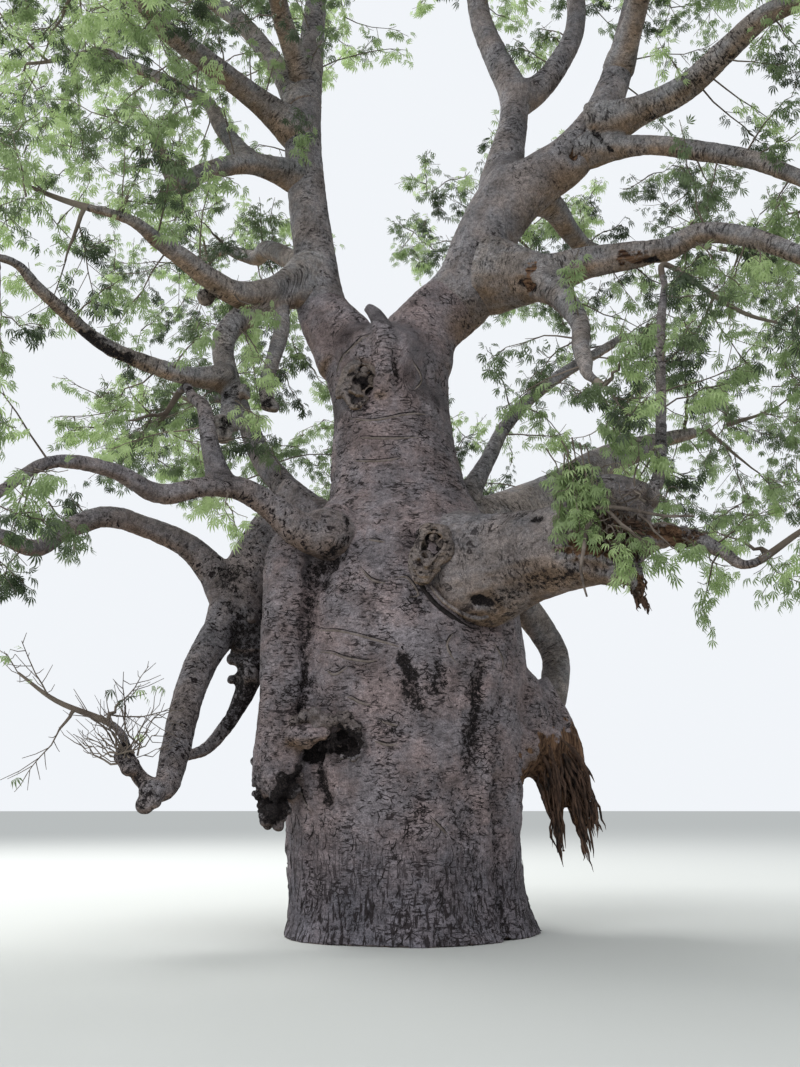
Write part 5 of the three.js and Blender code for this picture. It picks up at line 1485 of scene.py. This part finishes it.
# Stems, twigs and shoots: each mass of foliage grows on from its limb's tip by the tree's own rule.
# Side twigs stand round the stem, sprays stand on the twigs, and every spray is a thin twig with
# side shoots. They are round sweeps along seeded paths, a tube for each.
SPRAY_LENGTH = 1.4
SPRAY_FULL_AT = 2.4
SPRAY_LEAST = 0.55
SPRAY_VARIES = 0.15
SPRAY_WIDTH_SHARE = 0.55
SPRAY_WIDEST = 0.45
SPRAY_DROOP = 48
SPRAY_SWING = (50, 70)
SPRAY_ROLL = 0.8
END_SPRAY_ROLL = 0.6
SPRAYS_FROM, SPRAYS_TO = 0.3, 0.9
SPRAY_APART = 0.34
SPRAY_TRIES = (1, 0.8, 0.65)
SPRAY_INNER = 0.25
TWIG_FRACTIONS = (0.22, 0.9)  # where side twigs stand on the stem, first and last
TWIG_LEANS = (115, 35)
GOLDEN_TURN = 137.5
TWIG_GIRTH = 0.04
TWIG_LONGEST = 2.8
TWIG_SHORTEST = 0.3
TWIG_STEP = 0.08
TWIG_SHORT_OF_EDGE = 0.85
TWIG_END_SPRAY = 0.93
STEM_END_SPRAY = 0.97
SPACE_MARGIN = 0.05
LIMB_MARGIN = 0.06
TRUNK_ROOM, STRIP_ROOM = 1.1, 1.2
LEAST_RINGS = 4
FIRST_SEED = 1000
WORD = 0xFFFFFFFF


def dice(seed):
    """A seeded run of numbers from 0 to 1."""
    state = seed

    def draw():
        nonlocal state
        state = (state + 0x6D2B79F5) & WORD
        mixed = ((state ^ (state >> 15)) * (1 | state)) & WORD
        mixed = ((mixed + (((mixed ^ (mixed >> 7)) * (61 | mixed)) & WORD)) & WORD) ^ mixed
        return ((mixed ^ (mixed >> 14)) & WORD) / 4294967296
    return draw


def between(ends, share):
    return ends[0] + (ends[1] - ends[0]) * share


def turned(vector, axis, angle):
    """A vector turned about an axis of length 1, in radians."""
    return (vector * math.cos(angle) + np.cross(axis, vector) * math.sin(angle)
            + axis * axis.dot(vector) * (1 - math.cos(angle)))


bars = []  # straight stretches of wood that nothing may grow through


def add_bars(places, girths, room):
    for i in range(len(places) - 1):
        bars.append((np.array(places[i]), np.array(places[i + 1]), room * max(girths[i], girths[i + 1])))


for limb in limbs.values():
    steps = np.linspace(0, 1, 2 * max(LEAST_RINGS, len(limb["points"]) - 1) + 1)
    add_bars(curve_at(limb["points"], steps), girth_at(limb["girths"], steps), 1)
add_bars([(shift, 0, z) for z, _, shift in TRUNK_STATIONS], [half for _, half, _ in TRUNK_STATIONS],
         TRUNK_ROOM)
for points, girths in TRUNK_STRIPS + BROKEN_LIPS:
    add_bars(points, girths, STRIP_ROOM)
bar_from, bar_to, bar_girth = (np.array(column) for column in zip(*bars))


def distances(a, b, c, d):
    """Distances between one straight stretch and many."""
    first, second, offset = b - a, d - c, a - c
    first_sq, second_sq = first.dot(first), (second**2).sum(1)
    slant, first_off, second_off = second @ first, offset @ first, (second * offset).sum(1)
    spread = first_sq * second_sq - slant**2
    s = np.where(spread > 1e-12, (slant * second_off - second_sq * first_off) / np.maximum(spread, 1e-12), 0)
    s = np.clip(s, 0, 1)
    t = (slant * s + second_off) / second_sq
    held = np.clip(t, 0, 1)
    s = np.where(held == t, s, np.clip((slant * held - first_off) / first_sq, 0, 1))
    return np.linalg.norm(offset + first * s[:, None] - second * held[:, None], axis=1)


def clear_of_limbs(a, b, girth):
    """True if a straight twig touches no wood."""
    return bool((distances(a, b, bar_from, bar_to) > bar_girth + girth + LIMB_MARGIN).all())


masses = [limb for limb in limbs.values() if "middle" in limb]
middles = np.array([mass["middle"] for mass in masses])
widths = np.array([mass["wide"] for mass in masses])


def in_space(number, spot, margin):
    """True if a spot is in a mass's own space: an egg, parted from its neighbours by flat walls."""
    mass = masses[number]
    offset = spot - mass["middle"]
    flat = math.hypot(offset[0], offset[1]) / (mass["wide"] - margin)
    if flat**2 + (offset[2] / (mass["tall"] - margin))**2 > 1:
        return False
    powers = ((spot - middles)**2).sum(1) - widths**2
    apart = 2 * np.linalg.norm(middles - mass["middle"], axis=1)
    others = np.arange(len(masses)) != number
    return bool(((powers[others] - powers[number]) / apart[others] >= margin).all())


def room(number, start, way):
    """How far a twig can grow before it leaves the mass's own space."""
    length = 0.0
    while length < TWIG_LONGEST and in_space(number, start + way * (length + TWIG_STEP), SPACE_MARGIN):
        length += TWIG_STEP
    return length


def grow_mass(number):
    """One mass by the rule: its stem, its side twigs and its sprays."""
    mass = masses[number]
    draw = dice(FIRST_SEED + number)
    points = stem_points(mass)
    onward = unit(mass["middle"] - mass["tip"])
    full = SPRAY_LENGTH * min(1, max(SPRAY_LEAST, mass["wide"] / SPRAY_FULL_AT))
    sprays, twigs = [], []

    def fits(one):
        if not all(in_space(number, spot, SPACE_MARGIN) for spot in one["outline"]):
            return False
        if not clear_of_limbs(one["inner"], one["end"], one["half"]):
            return False
        if not sprays:
            return True
        inner = np.array([other["inner"] for other in sprays])
        end = np.array([other["end"] for other in sprays])
        return bool((distances(one["inner"], one["end"], inner, end) > SPRAY_APART).all())

    def add_spray(root, way, roll):
        length = full * (1 + SPRAY_VARIES * (2 * draw() - 1))
        side = turned(unit(np.cross(way, UP)), way, roll)
        for share in SPRAY_TRIES:
            end = root + way * share * length
            waist = root + (end - root) * SPRAY_WIDEST
            half = 0.5 * SPRAY_WIDTH_SHARE * share * length
            one = {"root": root, "way": way, "side": side, "end": end, "half": half, "length": share * length,
                   "inner": root + (end - root) * SPRAY_INNER,
                   "outline": [waist + side * half, waist - side * half, end]}
            if fits(one):
                sprays.append(one)
                return

    azimuth = 360 * draw()
    for k in range(mass["twigs"]):
        share = k / (mass["twigs"] - 1)
        fraction = between(TWIG_FRACTIONS, share)
        root = curve_at(points, fraction)[0]
        stem_way = way_at(points, fraction)
        side = turned(unit(np.cross(stem_way, UP)), stem_way, math.radians(azimuth))
        azimuth += GOLDEN_TURN
        lean = math.radians(between(TWIG_LEANS, share))
        way = stem_way * math.cos(lean) + side * math.sin(lean)
        length = room(number, root, way) - TWIG_SHORT_OF_EDGE * full
        end = root + way * length
        if length < TWIG_SHORTEST or not clear_of_limbs(root, end, TWIG_GIRTH):
            add_spray(root, way, END_SPRAY_ROLL * (draw() - 0.5))
            continue
        twigs.append({"root": root, "end": end, "way": way, "fraction": fraction})
        add_spray(root + (end - root) * TWIG_END_SPRAY, way, END_SPRAY_ROLL * (draw() - 0.5))
        for s in range(mass["sprays"]):
            swing = math.radians(between(SPRAY_SWING, draw()))
            spread = turned(way, UP, swing if s % 2 else -swing)
            spread[2] -= math.sin(math.radians(SPRAY_DROOP))
            place = SPRAYS_FROM + (SPRAYS_TO - SPRAYS_FROM) * s / mass["sprays"]
            add_spray(root + (end - root) * place, unit(spread), SPRAY_ROLL * (draw() - 0.5))
    add_spray(curve_at(points, STEM_END_SPRAY)[0], onward, END_SPRAY_ROLL * (draw() - 0.5))
    return points, twigs, sprays


SHOOTS = 9  # side shoots on a spray's twig
SHOOT_LEANS = (62, 30)  # degrees from the spray's way, first and last
LEAVES_ON_SHOOT = 5
LEAVES_AT_END = 8
LEAF_REACH = 0.38  # how far back from its end a shoot bears leaves
LEAF_LENGTH = (0.14, 0.2)  # of one leaflet
TWIG_SAG = 0.06
BARE = {"drooping_west_limb": 0.05}  # share of leaves that a mostly bare mass keeps
SPRAY_SHOOT_LONGEST = 0.6
SHOOT_SPACE = 0.08  # metres that a side shoot may pass its spray's outline by
SHOOT_DROOP = 0.12
FINE_SPACING = 0.12  # between the places on a twig where a finer branch may start
FINE_PER_SPACE = 1.45  # finer branches for each cubic metre of a mass's own space
FINE_NEAR, FINE_FAR = 0.3, 1.7  # metres from the twig that a finer branch grows from
FINE_MARGIN = 0.3
FINE_GIRTHS = (0.014, 0.009, 0.005)
SHOOT_GIRTHS = (0.0065, 0.0055, 0.004)
FINE_SHOOTS = 4
FINE_ROOM = 0.12  # how far a finer branch keeps from limbs, beyond its first share
FINE_FIRST = 0.4
CROWN_BACK = 8.4  # no shoot ends behind this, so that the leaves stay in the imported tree's box
OUTWARD_SHARE = 0.45  # inside this share of the way out there are few leaves

twig_lines = {"stems": [], "twigs": [], "shoots": []}
leaf_rows = {}


def bent_line(start, end, sag, steps, rng, wander):
    """A slightly wandering line that sags below straight."""
    share = np.linspace(0, 1, steps + 1)[:, None]
    line = start + (end - start) * share
    line[:, 2] -= 4 * sag * (share * (1 - share))[:, 0]
    line[1:-1] += rng.normal(0, wander, (steps - 1, 3))
    return line


def add_twig(kind, line, thick, thin):
    """Keeps a tapering line for the stems, the twigs or the shoots."""
    twig_lines[kind].append((line, np.linspace(thick, thin, len(line))))


def add_leaves(rows, place, way, count, rng, tone, keep):
    """A whorl of leaves round the end of a shoot, drooping."""
    side = unit(np.cross(way, UP) + 1e-3)
    for i in range(count):
        if rng.rand() > keep:
            continue
        around = turned(side, way, math.radians(GOLDEN_TURN * i + rng.uniform(0, 60)))
        tilt = math.radians(rng.uniform(30, 85))
        aim = way * math.cos(tilt) + around * math.sin(tilt)
        aim = unit(aim - UP * rng.uniform(0.5, 1.6))
        up = unit(UP + rng.normal(0, 0.35, 3))
        size = rng.uniform(*LEAF_LENGTH)
        rows.append((*(place - way * rng.uniform(0, LEAF_REACH)), *aim, *up, size, tone))


def leafy_shoot(rows, root, way, length, rng, tone, keep):
    """A short shoot that ends in a whorl of leaves."""
    tip = root + unit(way) * length
    if tip[1] > CROWN_BACK:
        return
    tip[2] -= SHOOT_DROOP * length
    twig_lines["shoots"].append((bent_line(root, tip, 0.02, 2, rng, 0.006), SHOOT_GIRTHS))
    add_leaves(rows, tip, unit(way), LEAVES_ON_SHOOT, rng, tone, keep)


def dress_spray(mass, one, rng, rows):
    """A spray's middle twig, its side shoots and their leaves, inside the spray's own outline."""
    keep = BARE.get(mass["name"], 1.0)
    raised = np.cross(one["side"], one["way"])
    line = bent_line(one["root"], one["end"] - one["way"] * 0.12, TWIG_SAG * one["length"], 4, rng, 0.012)
    add_twig("shoots", line, 0.013, 0.005)
    tone = int(rng.choice(len(mass["tones"]), p=mass["tones"]))
    add_leaves(rows, line[-1], one["way"], LEAVES_AT_END, rng, tone, keep)
    for i in range(SHOOTS):
        share = (i + 0.6) / SHOOTS
        root = curve_at(line, share)[0]
        lean = math.radians(between(SHOOT_LEANS, share) + rng.uniform(-12, 12))
        side = one["side"] * (1 if i % 2 else -1)
        way = one["way"] * math.cos(lean) + unit(side + raised * rng.uniform(-0.9, 0.9)) * math.sin(lean)
        wide = one["half"] * min(share / SPRAY_WIDEST, (1 - share) / (1 - SPRAY_WIDEST)) + SHOOT_SPACE
        length = min(SPRAY_SHOOT_LONGEST, wide / max(0.35, math.sin(lean))) * rng.uniform(0.8, 1.15)
        leafy_shoot(rows, root, way, length, rng, tone, keep)
    return line


def leafy_branch(rows, line, girths, tones, shoots, rng, keep):
    """A thin branch with leafy shoots on its outer part."""
    if line[-1][1] > CROWN_BACK:
        return
    twig_lines["shoots"].append((line, girths))
    tone = int(rng.choice(len(tones), p=tones))
    ahead = unit(line[-1] - line[-2])
    add_leaves(rows, line[-1], ahead, LEAVES_AT_END, rng, tone, keep)
    for i in range(shoots):
        root = curve_at(line, 0.3 + 0.65 * (i + rng.rand()) / shoots)[0]
        way = ahead + rng.normal(0, 0.75, 3)
        leafy_shoot(rows, root, way, rng.uniform(0.14, 0.34), rng, tone, keep)


def fill_mass(number, skeleton, rng, rows):
    """Finer branches, from the nearest twig to places in the mass's space that none has reached."""
    mass = masses[number]
    wide, tall = mass["wide"], mass["tall"]
    keep = BARE.get(mass["name"], 1.0)
    tries = int(8 * wide * wide * tall * mass["fullness"] * FINE_PER_SPACE)
    offsets = rng.uniform(-1, 1, (tries, 3)) * np.array([wide, wide, tall])
    outward = np.linalg.norm(offsets / np.array([wide, wide, tall]), axis=1)
    luck = rng.rand(tries)
    spots = mass["middle"] + offsets[(outward < 1) & (outward > OUTWARD_SHARE * luck)]
    spots = [spot for spot in spots if in_space(number, spot, FINE_MARGIN)]
    spots.sort(key=lambda spot: np.linalg.norm(skeleton - spot, axis=1).min())
    for spot in spots:
        gaps = np.linalg.norm(skeleton - spot, axis=1)
        start = skeleton[gaps.argmin()]
        if not FINE_NEAR < gaps.min() < FINE_FAR:
            continue
        if not clear_of_limbs(start + FINE_FIRST * (spot - start), spot, FINE_ROOM):
            continue
        line = bent_line(start, spot, 0.06 * gaps.min(), 4, rng, 0.02)
        girths = np.interp(np.arange(5), [0, 2, 4], FINE_GIRTHS)
        leafy_branch(rows, line, girths, mass["tones"], FINE_SHOOTS, rng, keep)
        skeleton = np.vstack([skeleton, line[2:]])


# Shares of bright, fresh, deep and dark green leaves, painted light and shade: brightest on the left, where
# the back lamp shines through the crown, darker on the right and behind.
WEST_LIT_TONES = (0.4, 0.29, 0.17, 0.14)
EAST_SHADED_TONES = (0.26, 0.31, 0.24, 0.19)
BACK_SHADED_TONES = (0.15, 0.3, 0.33, 0.22)
BEHIND = 2.0  # masses whose middle is behind this have the back's shares
STEM_STEPS = 22

for number, mass in enumerate(masses):
    rng = np.random.RandomState(FIRST_SEED + number)
    mass["tones"] = WEST_LIT_TONES if mass["middle"][0] < 0 else EAST_SHADED_TONES
    if mass["middle"][1] > BEHIND:
        mass["tones"] = BACK_SHADED_TONES
    points, twigs, sprays = grow_mass(number)
    rows = leaf_rows.setdefault(mass["name"], [])
    fractions = np.linspace(0, 1, STEM_STEPS)
    thickness = girth_at(stem_girths(mass), fractions)
    begin = max(0, int((thickness > LEAST_STEM).sum()) - 2)
    stem_line = curve_at(points, fractions)
    twig_lines["stems"].append((stem_line[begin:], 0.97 * thickness[begin:]))
    skeleton = [stem_line[5:]]
    for twig in twigs:
        girth = min(0.6 * girth_at(stem_girths(mass), twig["fraction"])[0] + 0.006, 0.04)
        length = np.linalg.norm(twig["end"] - twig["root"])
        line = bent_line(twig["root"], twig["end"], 0.04 * length, 6, rng, 0.014)
        add_twig("twigs", line, girth, 0.011)
        skeleton.append(curve_at(line, np.linspace(0.1, 1, max(2, int(length / FINE_SPACING)))))
    for one in sprays:
        skeleton.append(dress_spray(mass, one, rng, rows))
    fill_mass(number, np.vstack(skeleton), rng, rows)


# Leafy side shoots straight from the limbs, which hang among the boughs. A limb without a mass has
# its leaves counted with another's.
LEAVES_WITH = {"middle_east_fork": "middle_leader", "kinked_west_bough": "upper_west_arm",
               "hanging_west_limb": "reaching_west_arm"}
LIMB_SHOOT_LENGTH = (0.5, 1.5)

rng = np.random.RandomState(FIRST_SEED - 1)
for limb in limbs.values():
    begin, thick = limb["shoots"] or (1, 0)
    owner = LEAVES_WITH.get(limb["name"], limb["name"])
    span = strides(limb["points"]).sum() * (1 - begin)
    for _ in range(int(round(span * thick))):
        fraction = rng.uniform(begin, 1)
        root = curve_at(limb["points"], fraction)[0]
        along = way_at(limb["points"], fraction)
        around = unit(np.cross(along, rng.normal(0, 1, 3)))
        way = unit(around + along * rng.uniform(-0.2, 0.6) + UP * rng.uniform(-0.6, 0.35))
        girth = girth_at(limb["girths"], fraction)[0]
        tip = root + way * (girth + rng.uniform(*LIMB_SHOOT_LENGTH))
        if clear_of_limbs(root + way * (girth + 0.2), tip, 0.02):
            line = bent_line(root + way * 0.7 * girth, tip, rng.uniform(-0.15, 0.05), 5, rng, 0.02)
            girths = np.linspace(0.016, 0.005, 6)
            leafy_branch(leaf_rows[owner], line, girths, limbs[owner]["tones"], 5, rng, 1.0)

LEAF_BUNCHES = [  # where a bunch of long drooping shoots hangs from, its mass, count and lengths
    ((2.1, -2.75, 5.95), "east_upright", 8, (0.6, 1.15)),
    ((2.4, -2.95, 4.85), "great_east_bough", 2, (0.3, 0.45)),
]
BUNCH_SPREAD = 0.25
for middle, owner, count, lengths in LEAF_BUNCHES:
    for _ in range(count):
        root = np.array(middle) + rng.normal(0, 0.5, 3) * np.array([0.3, 0.1, 0.2])
        tip = root + rng.normal(0, BUNCH_SPREAD, 3) * np.array([1, 0.6, 0.3]) - UP * rng.uniform(*lengths)
        line = bent_line(root, tip, -0.05, 5, rng, 0.015)
        leafy_branch(leaf_rows[owner], line, np.linspace(0.013, 0.005, 6), WEST_LIT_TONES, 6, rng, 1.0)

BARE_FAN_ROOT = np.array([-3.38, -1.8, 2.2])
BARE_FAN_SHOOTS = 26
for _ in range(BARE_FAN_SHOOTS):  # the drooping limb's end bears bare thin twigs
    way = unit(np.array([rng.normal(-0.25, 0.75), rng.normal(0, 0.4), rng.uniform(0.3, 1.2)]))
    tip = BARE_FAN_ROOT + way * rng.uniform(0.5, 1.1)
    line = bent_line(BARE_FAN_ROOT + rng.normal(0, 0.06, 3), tip, 0.06, 6, rng, 0.03)
    add_twig("shoots", line, rng.uniform(0.008, 0.018), 0.004)
    for share in (0.45, 0.7):
        fork = curve_at(line, share)[0]
        side = fork + unit(way + rng.normal(0, 0.5, 3)) * rng.uniform(0.15, 0.4)
        add_twig("shoots", bent_line(fork, side, 0.02, 3, rng, 0.015), 0.008, 0.003)

twig_bark = thin_wood_finish("twig_bark", (0.085, 0.065, 0.052, 1), (0.2, 0.165, 0.135, 1), 1.3, 1)
foliage_nodes = [mass["name"] + "_foliage" for mass in masses]
for name, sides in {"stems": 9, "twigs": 6, "shoots": 3}.items():
    sweep(name, twig_lines[name], sides, twig_bark, *foliage_nodes, slot="young_bark")


# Leaves: hands of five lance-shaped leaflets that hang from the shoots' ends, in four plain greens dealt out
# by spray, lighter and darker copies of one green that paint light and shade as well as the leaves' own
# variety. One small leaf mesh is set on every leaf's point and made real.
LEAFLETS = 5
LEAFLET_FAN = 25.0  # degrees between neighbouring leaflets
LEAFLET_HALF = 0.078  # half width, as a share of the length
LEAFLET_WAIST = 0.5  # share of the length to the widest place
LEAFLET_BEYOND = 0.32  # how far ahead of its waist a leaflet's tip is
LEAFLET_DROOP = 0.4  # and how far below
LEAFLET_SHORTER = 0.09
LEAF_STALK, STALK_HALF, STALK_DROP = 0.55, 0.014, 0.05
# from lit to shaded: lighter and darker copies of one green, painted light and shade
LEAF_COLOURS = {
    "bright_leaf": (0.42, 0.54, 0.25, 1), "fresh_leaf": (0.26, 0.35, 0.155, 1),
    "deep_leaf": (0.125, 0.175, 0.08, 1), "dark_leaf": (0.055, 0.08, 0.04, 1),
}
LEAF_GLOW = 0.42  # share of light that passes through


def leaf_mesh():
    """One hand of leaflets: a stalk along +X, then a fan of folded blades that droop."""
    foot = np.array([LEAF_STALK, 0, -STALK_DROP])
    corners = [(0, -STALK_HALF, 0), (0, STALK_HALF, 0), tuple(foot)]
    faces = [[0, 1, 2]]
    for i in range(LEAFLETS):
        spread = i - (LEAFLETS - 1) / 2
        turn = math.radians(LEAFLET_FAN * spread)
        length = 1.0 - LEAFLET_SHORTER * abs(spread)**1.5
        ahead = np.array([math.cos(turn), math.sin(turn), 0])
        aside = np.array([-math.sin(turn), math.cos(turn), 0])
        waist = foot + ahead * length * LEAFLET_WAIST
        tip = waist + (ahead * LEAFLET_BEYOND - UP * LEAFLET_DROOP) * length
        half = LEAFLET_HALF * length
        start = len(corners)
        corners += [tuple(foot), tuple(waist - aside * half), tuple(tip), tuple(waist + aside * half)]
        faces += [[start, start + 1, start + 3], [start + 1, start + 2, start + 3]]
    mesh = bpy.data.meshes.new("leaf_hand")
    mesh.from_pydata(corners, [], faces)
    return mesh


def leaf_finish(name, colour):
    material, add = blank_material(name)
    shader = add("ShaderNodeBsdfPrincipled", Base_Color=colour, Roughness=0.5)
    glow = add("ShaderNodeBsdfTranslucent", Color=colour)
    mix = add("ShaderNodeMixShader", LEAF_GLOW, shader.outputs[0], glow.outputs[0])
    add("ShaderNodeOutputMaterial", Surface=mix.outputs[0])
    return material


def leaf_tree(finishes):
    """Geometry nodes that set a leaf on every point, turned and coloured as the point says."""
    inputs = {"leaf": "Object", **dict.fromkeys(finishes, "Material")}
    tree, add, stored, given = node_group("leaf_scatter", inputs)
    leaf = add("GeometryNodeObjectInfo", Object=given["leaf"]).outputs["Geometry"]
    rotation = add("FunctionNodeAxesToRotation", Primary_Axis=stored("aim", "FLOAT_VECTOR"),
                   Secondary_Axis=stored("up", "FLOAT_VECTOR"), primary_axis="X",
                   secondary_axis="Z").outputs[0]
    placed = add("GeometryNodeInstanceOnPoints", Points=given["Geometry"], Instance=leaf, Rotation=rotation,
                 Scale=stored("size")).outputs[0]
    shape = add("GeometryNodeRealizeInstances", placed).outputs[0]
    for number, name in enumerate(finishes):
        same = add("FunctionNodeCompare", data_type="FLOAT", operation="EQUAL")
        tree.links.new(stored("tone"), same.inputs["A"])
        same.inputs["B"].default_value = number
        same.inputs["Epsilon"].default_value = 0.1
        shape = add("GeometryNodeSetMaterial", Geometry=shape, Selection=same.outputs[0],
                    Material=given[name]).outputs[0]
    add("NodeGroupOutput", shape)
    return tree


LEAF_GROUPS = {
    "leaves_top": ["west_leader", "middle_leader", "east_leader", "rising_west_bough"],
    "leaves_high_west": ["high_west_bough", "upper_west_arm", "south_west_bough"],
    "leaves_low_west": ["mid_west_bough", "reaching_west_arm", "west_bough", "west_upright",
                        "drooping_west_limb", "low_west_bough"],
    "leaves_high_east": ["far_east_bough", "level_east_bough", "south_east_bough"],
    "leaves_low_east": ["mid_east_bough", "hanging_east_limb", "great_east_bough", "east_upright",
                        "inner_east_limb"],
    "leaves_back_east": ["back_east_bough", "back_east_arm", "north_high_bough"],
    "leaves_back_west": ["back_west_bough", "north_bough", "north_west_bough"],
}
leaf_item = link("leaf_hand", leaf_mesh())
leaf_finishes = {name: leaf_finish(name, colour) for name, colour in LEAF_COLOURS.items()}
leaf_scatter = leaf_tree(leaf_finishes)
for name, owners in LEAF_GROUPS.items():
    rows = np.array([row for owner in owners for row in leaf_rows[owner]])
    mesh = bpy.data.meshes.new(name)
    mesh.from_pydata(rows[:, :3], [], [])
    store(mesh, "aim", rows[:, 3:6], "FLOAT_VECTOR")
    store(mesh, "up", rows[:, 6:9], "FLOAT_VECTOR")
    store(mesh, "size", rows[:, 9])
    store(mesh, "tone", rows[:, 10])
    item = link(name, mesh)
    run_nodes(item, leaf_scatter, {"leaf": leaf_item, **leaf_finishes})
    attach(item, "root")
    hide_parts(*[owner + "_foliage" for owner in owners])
bpy.data.objects.remove(leaf_item)
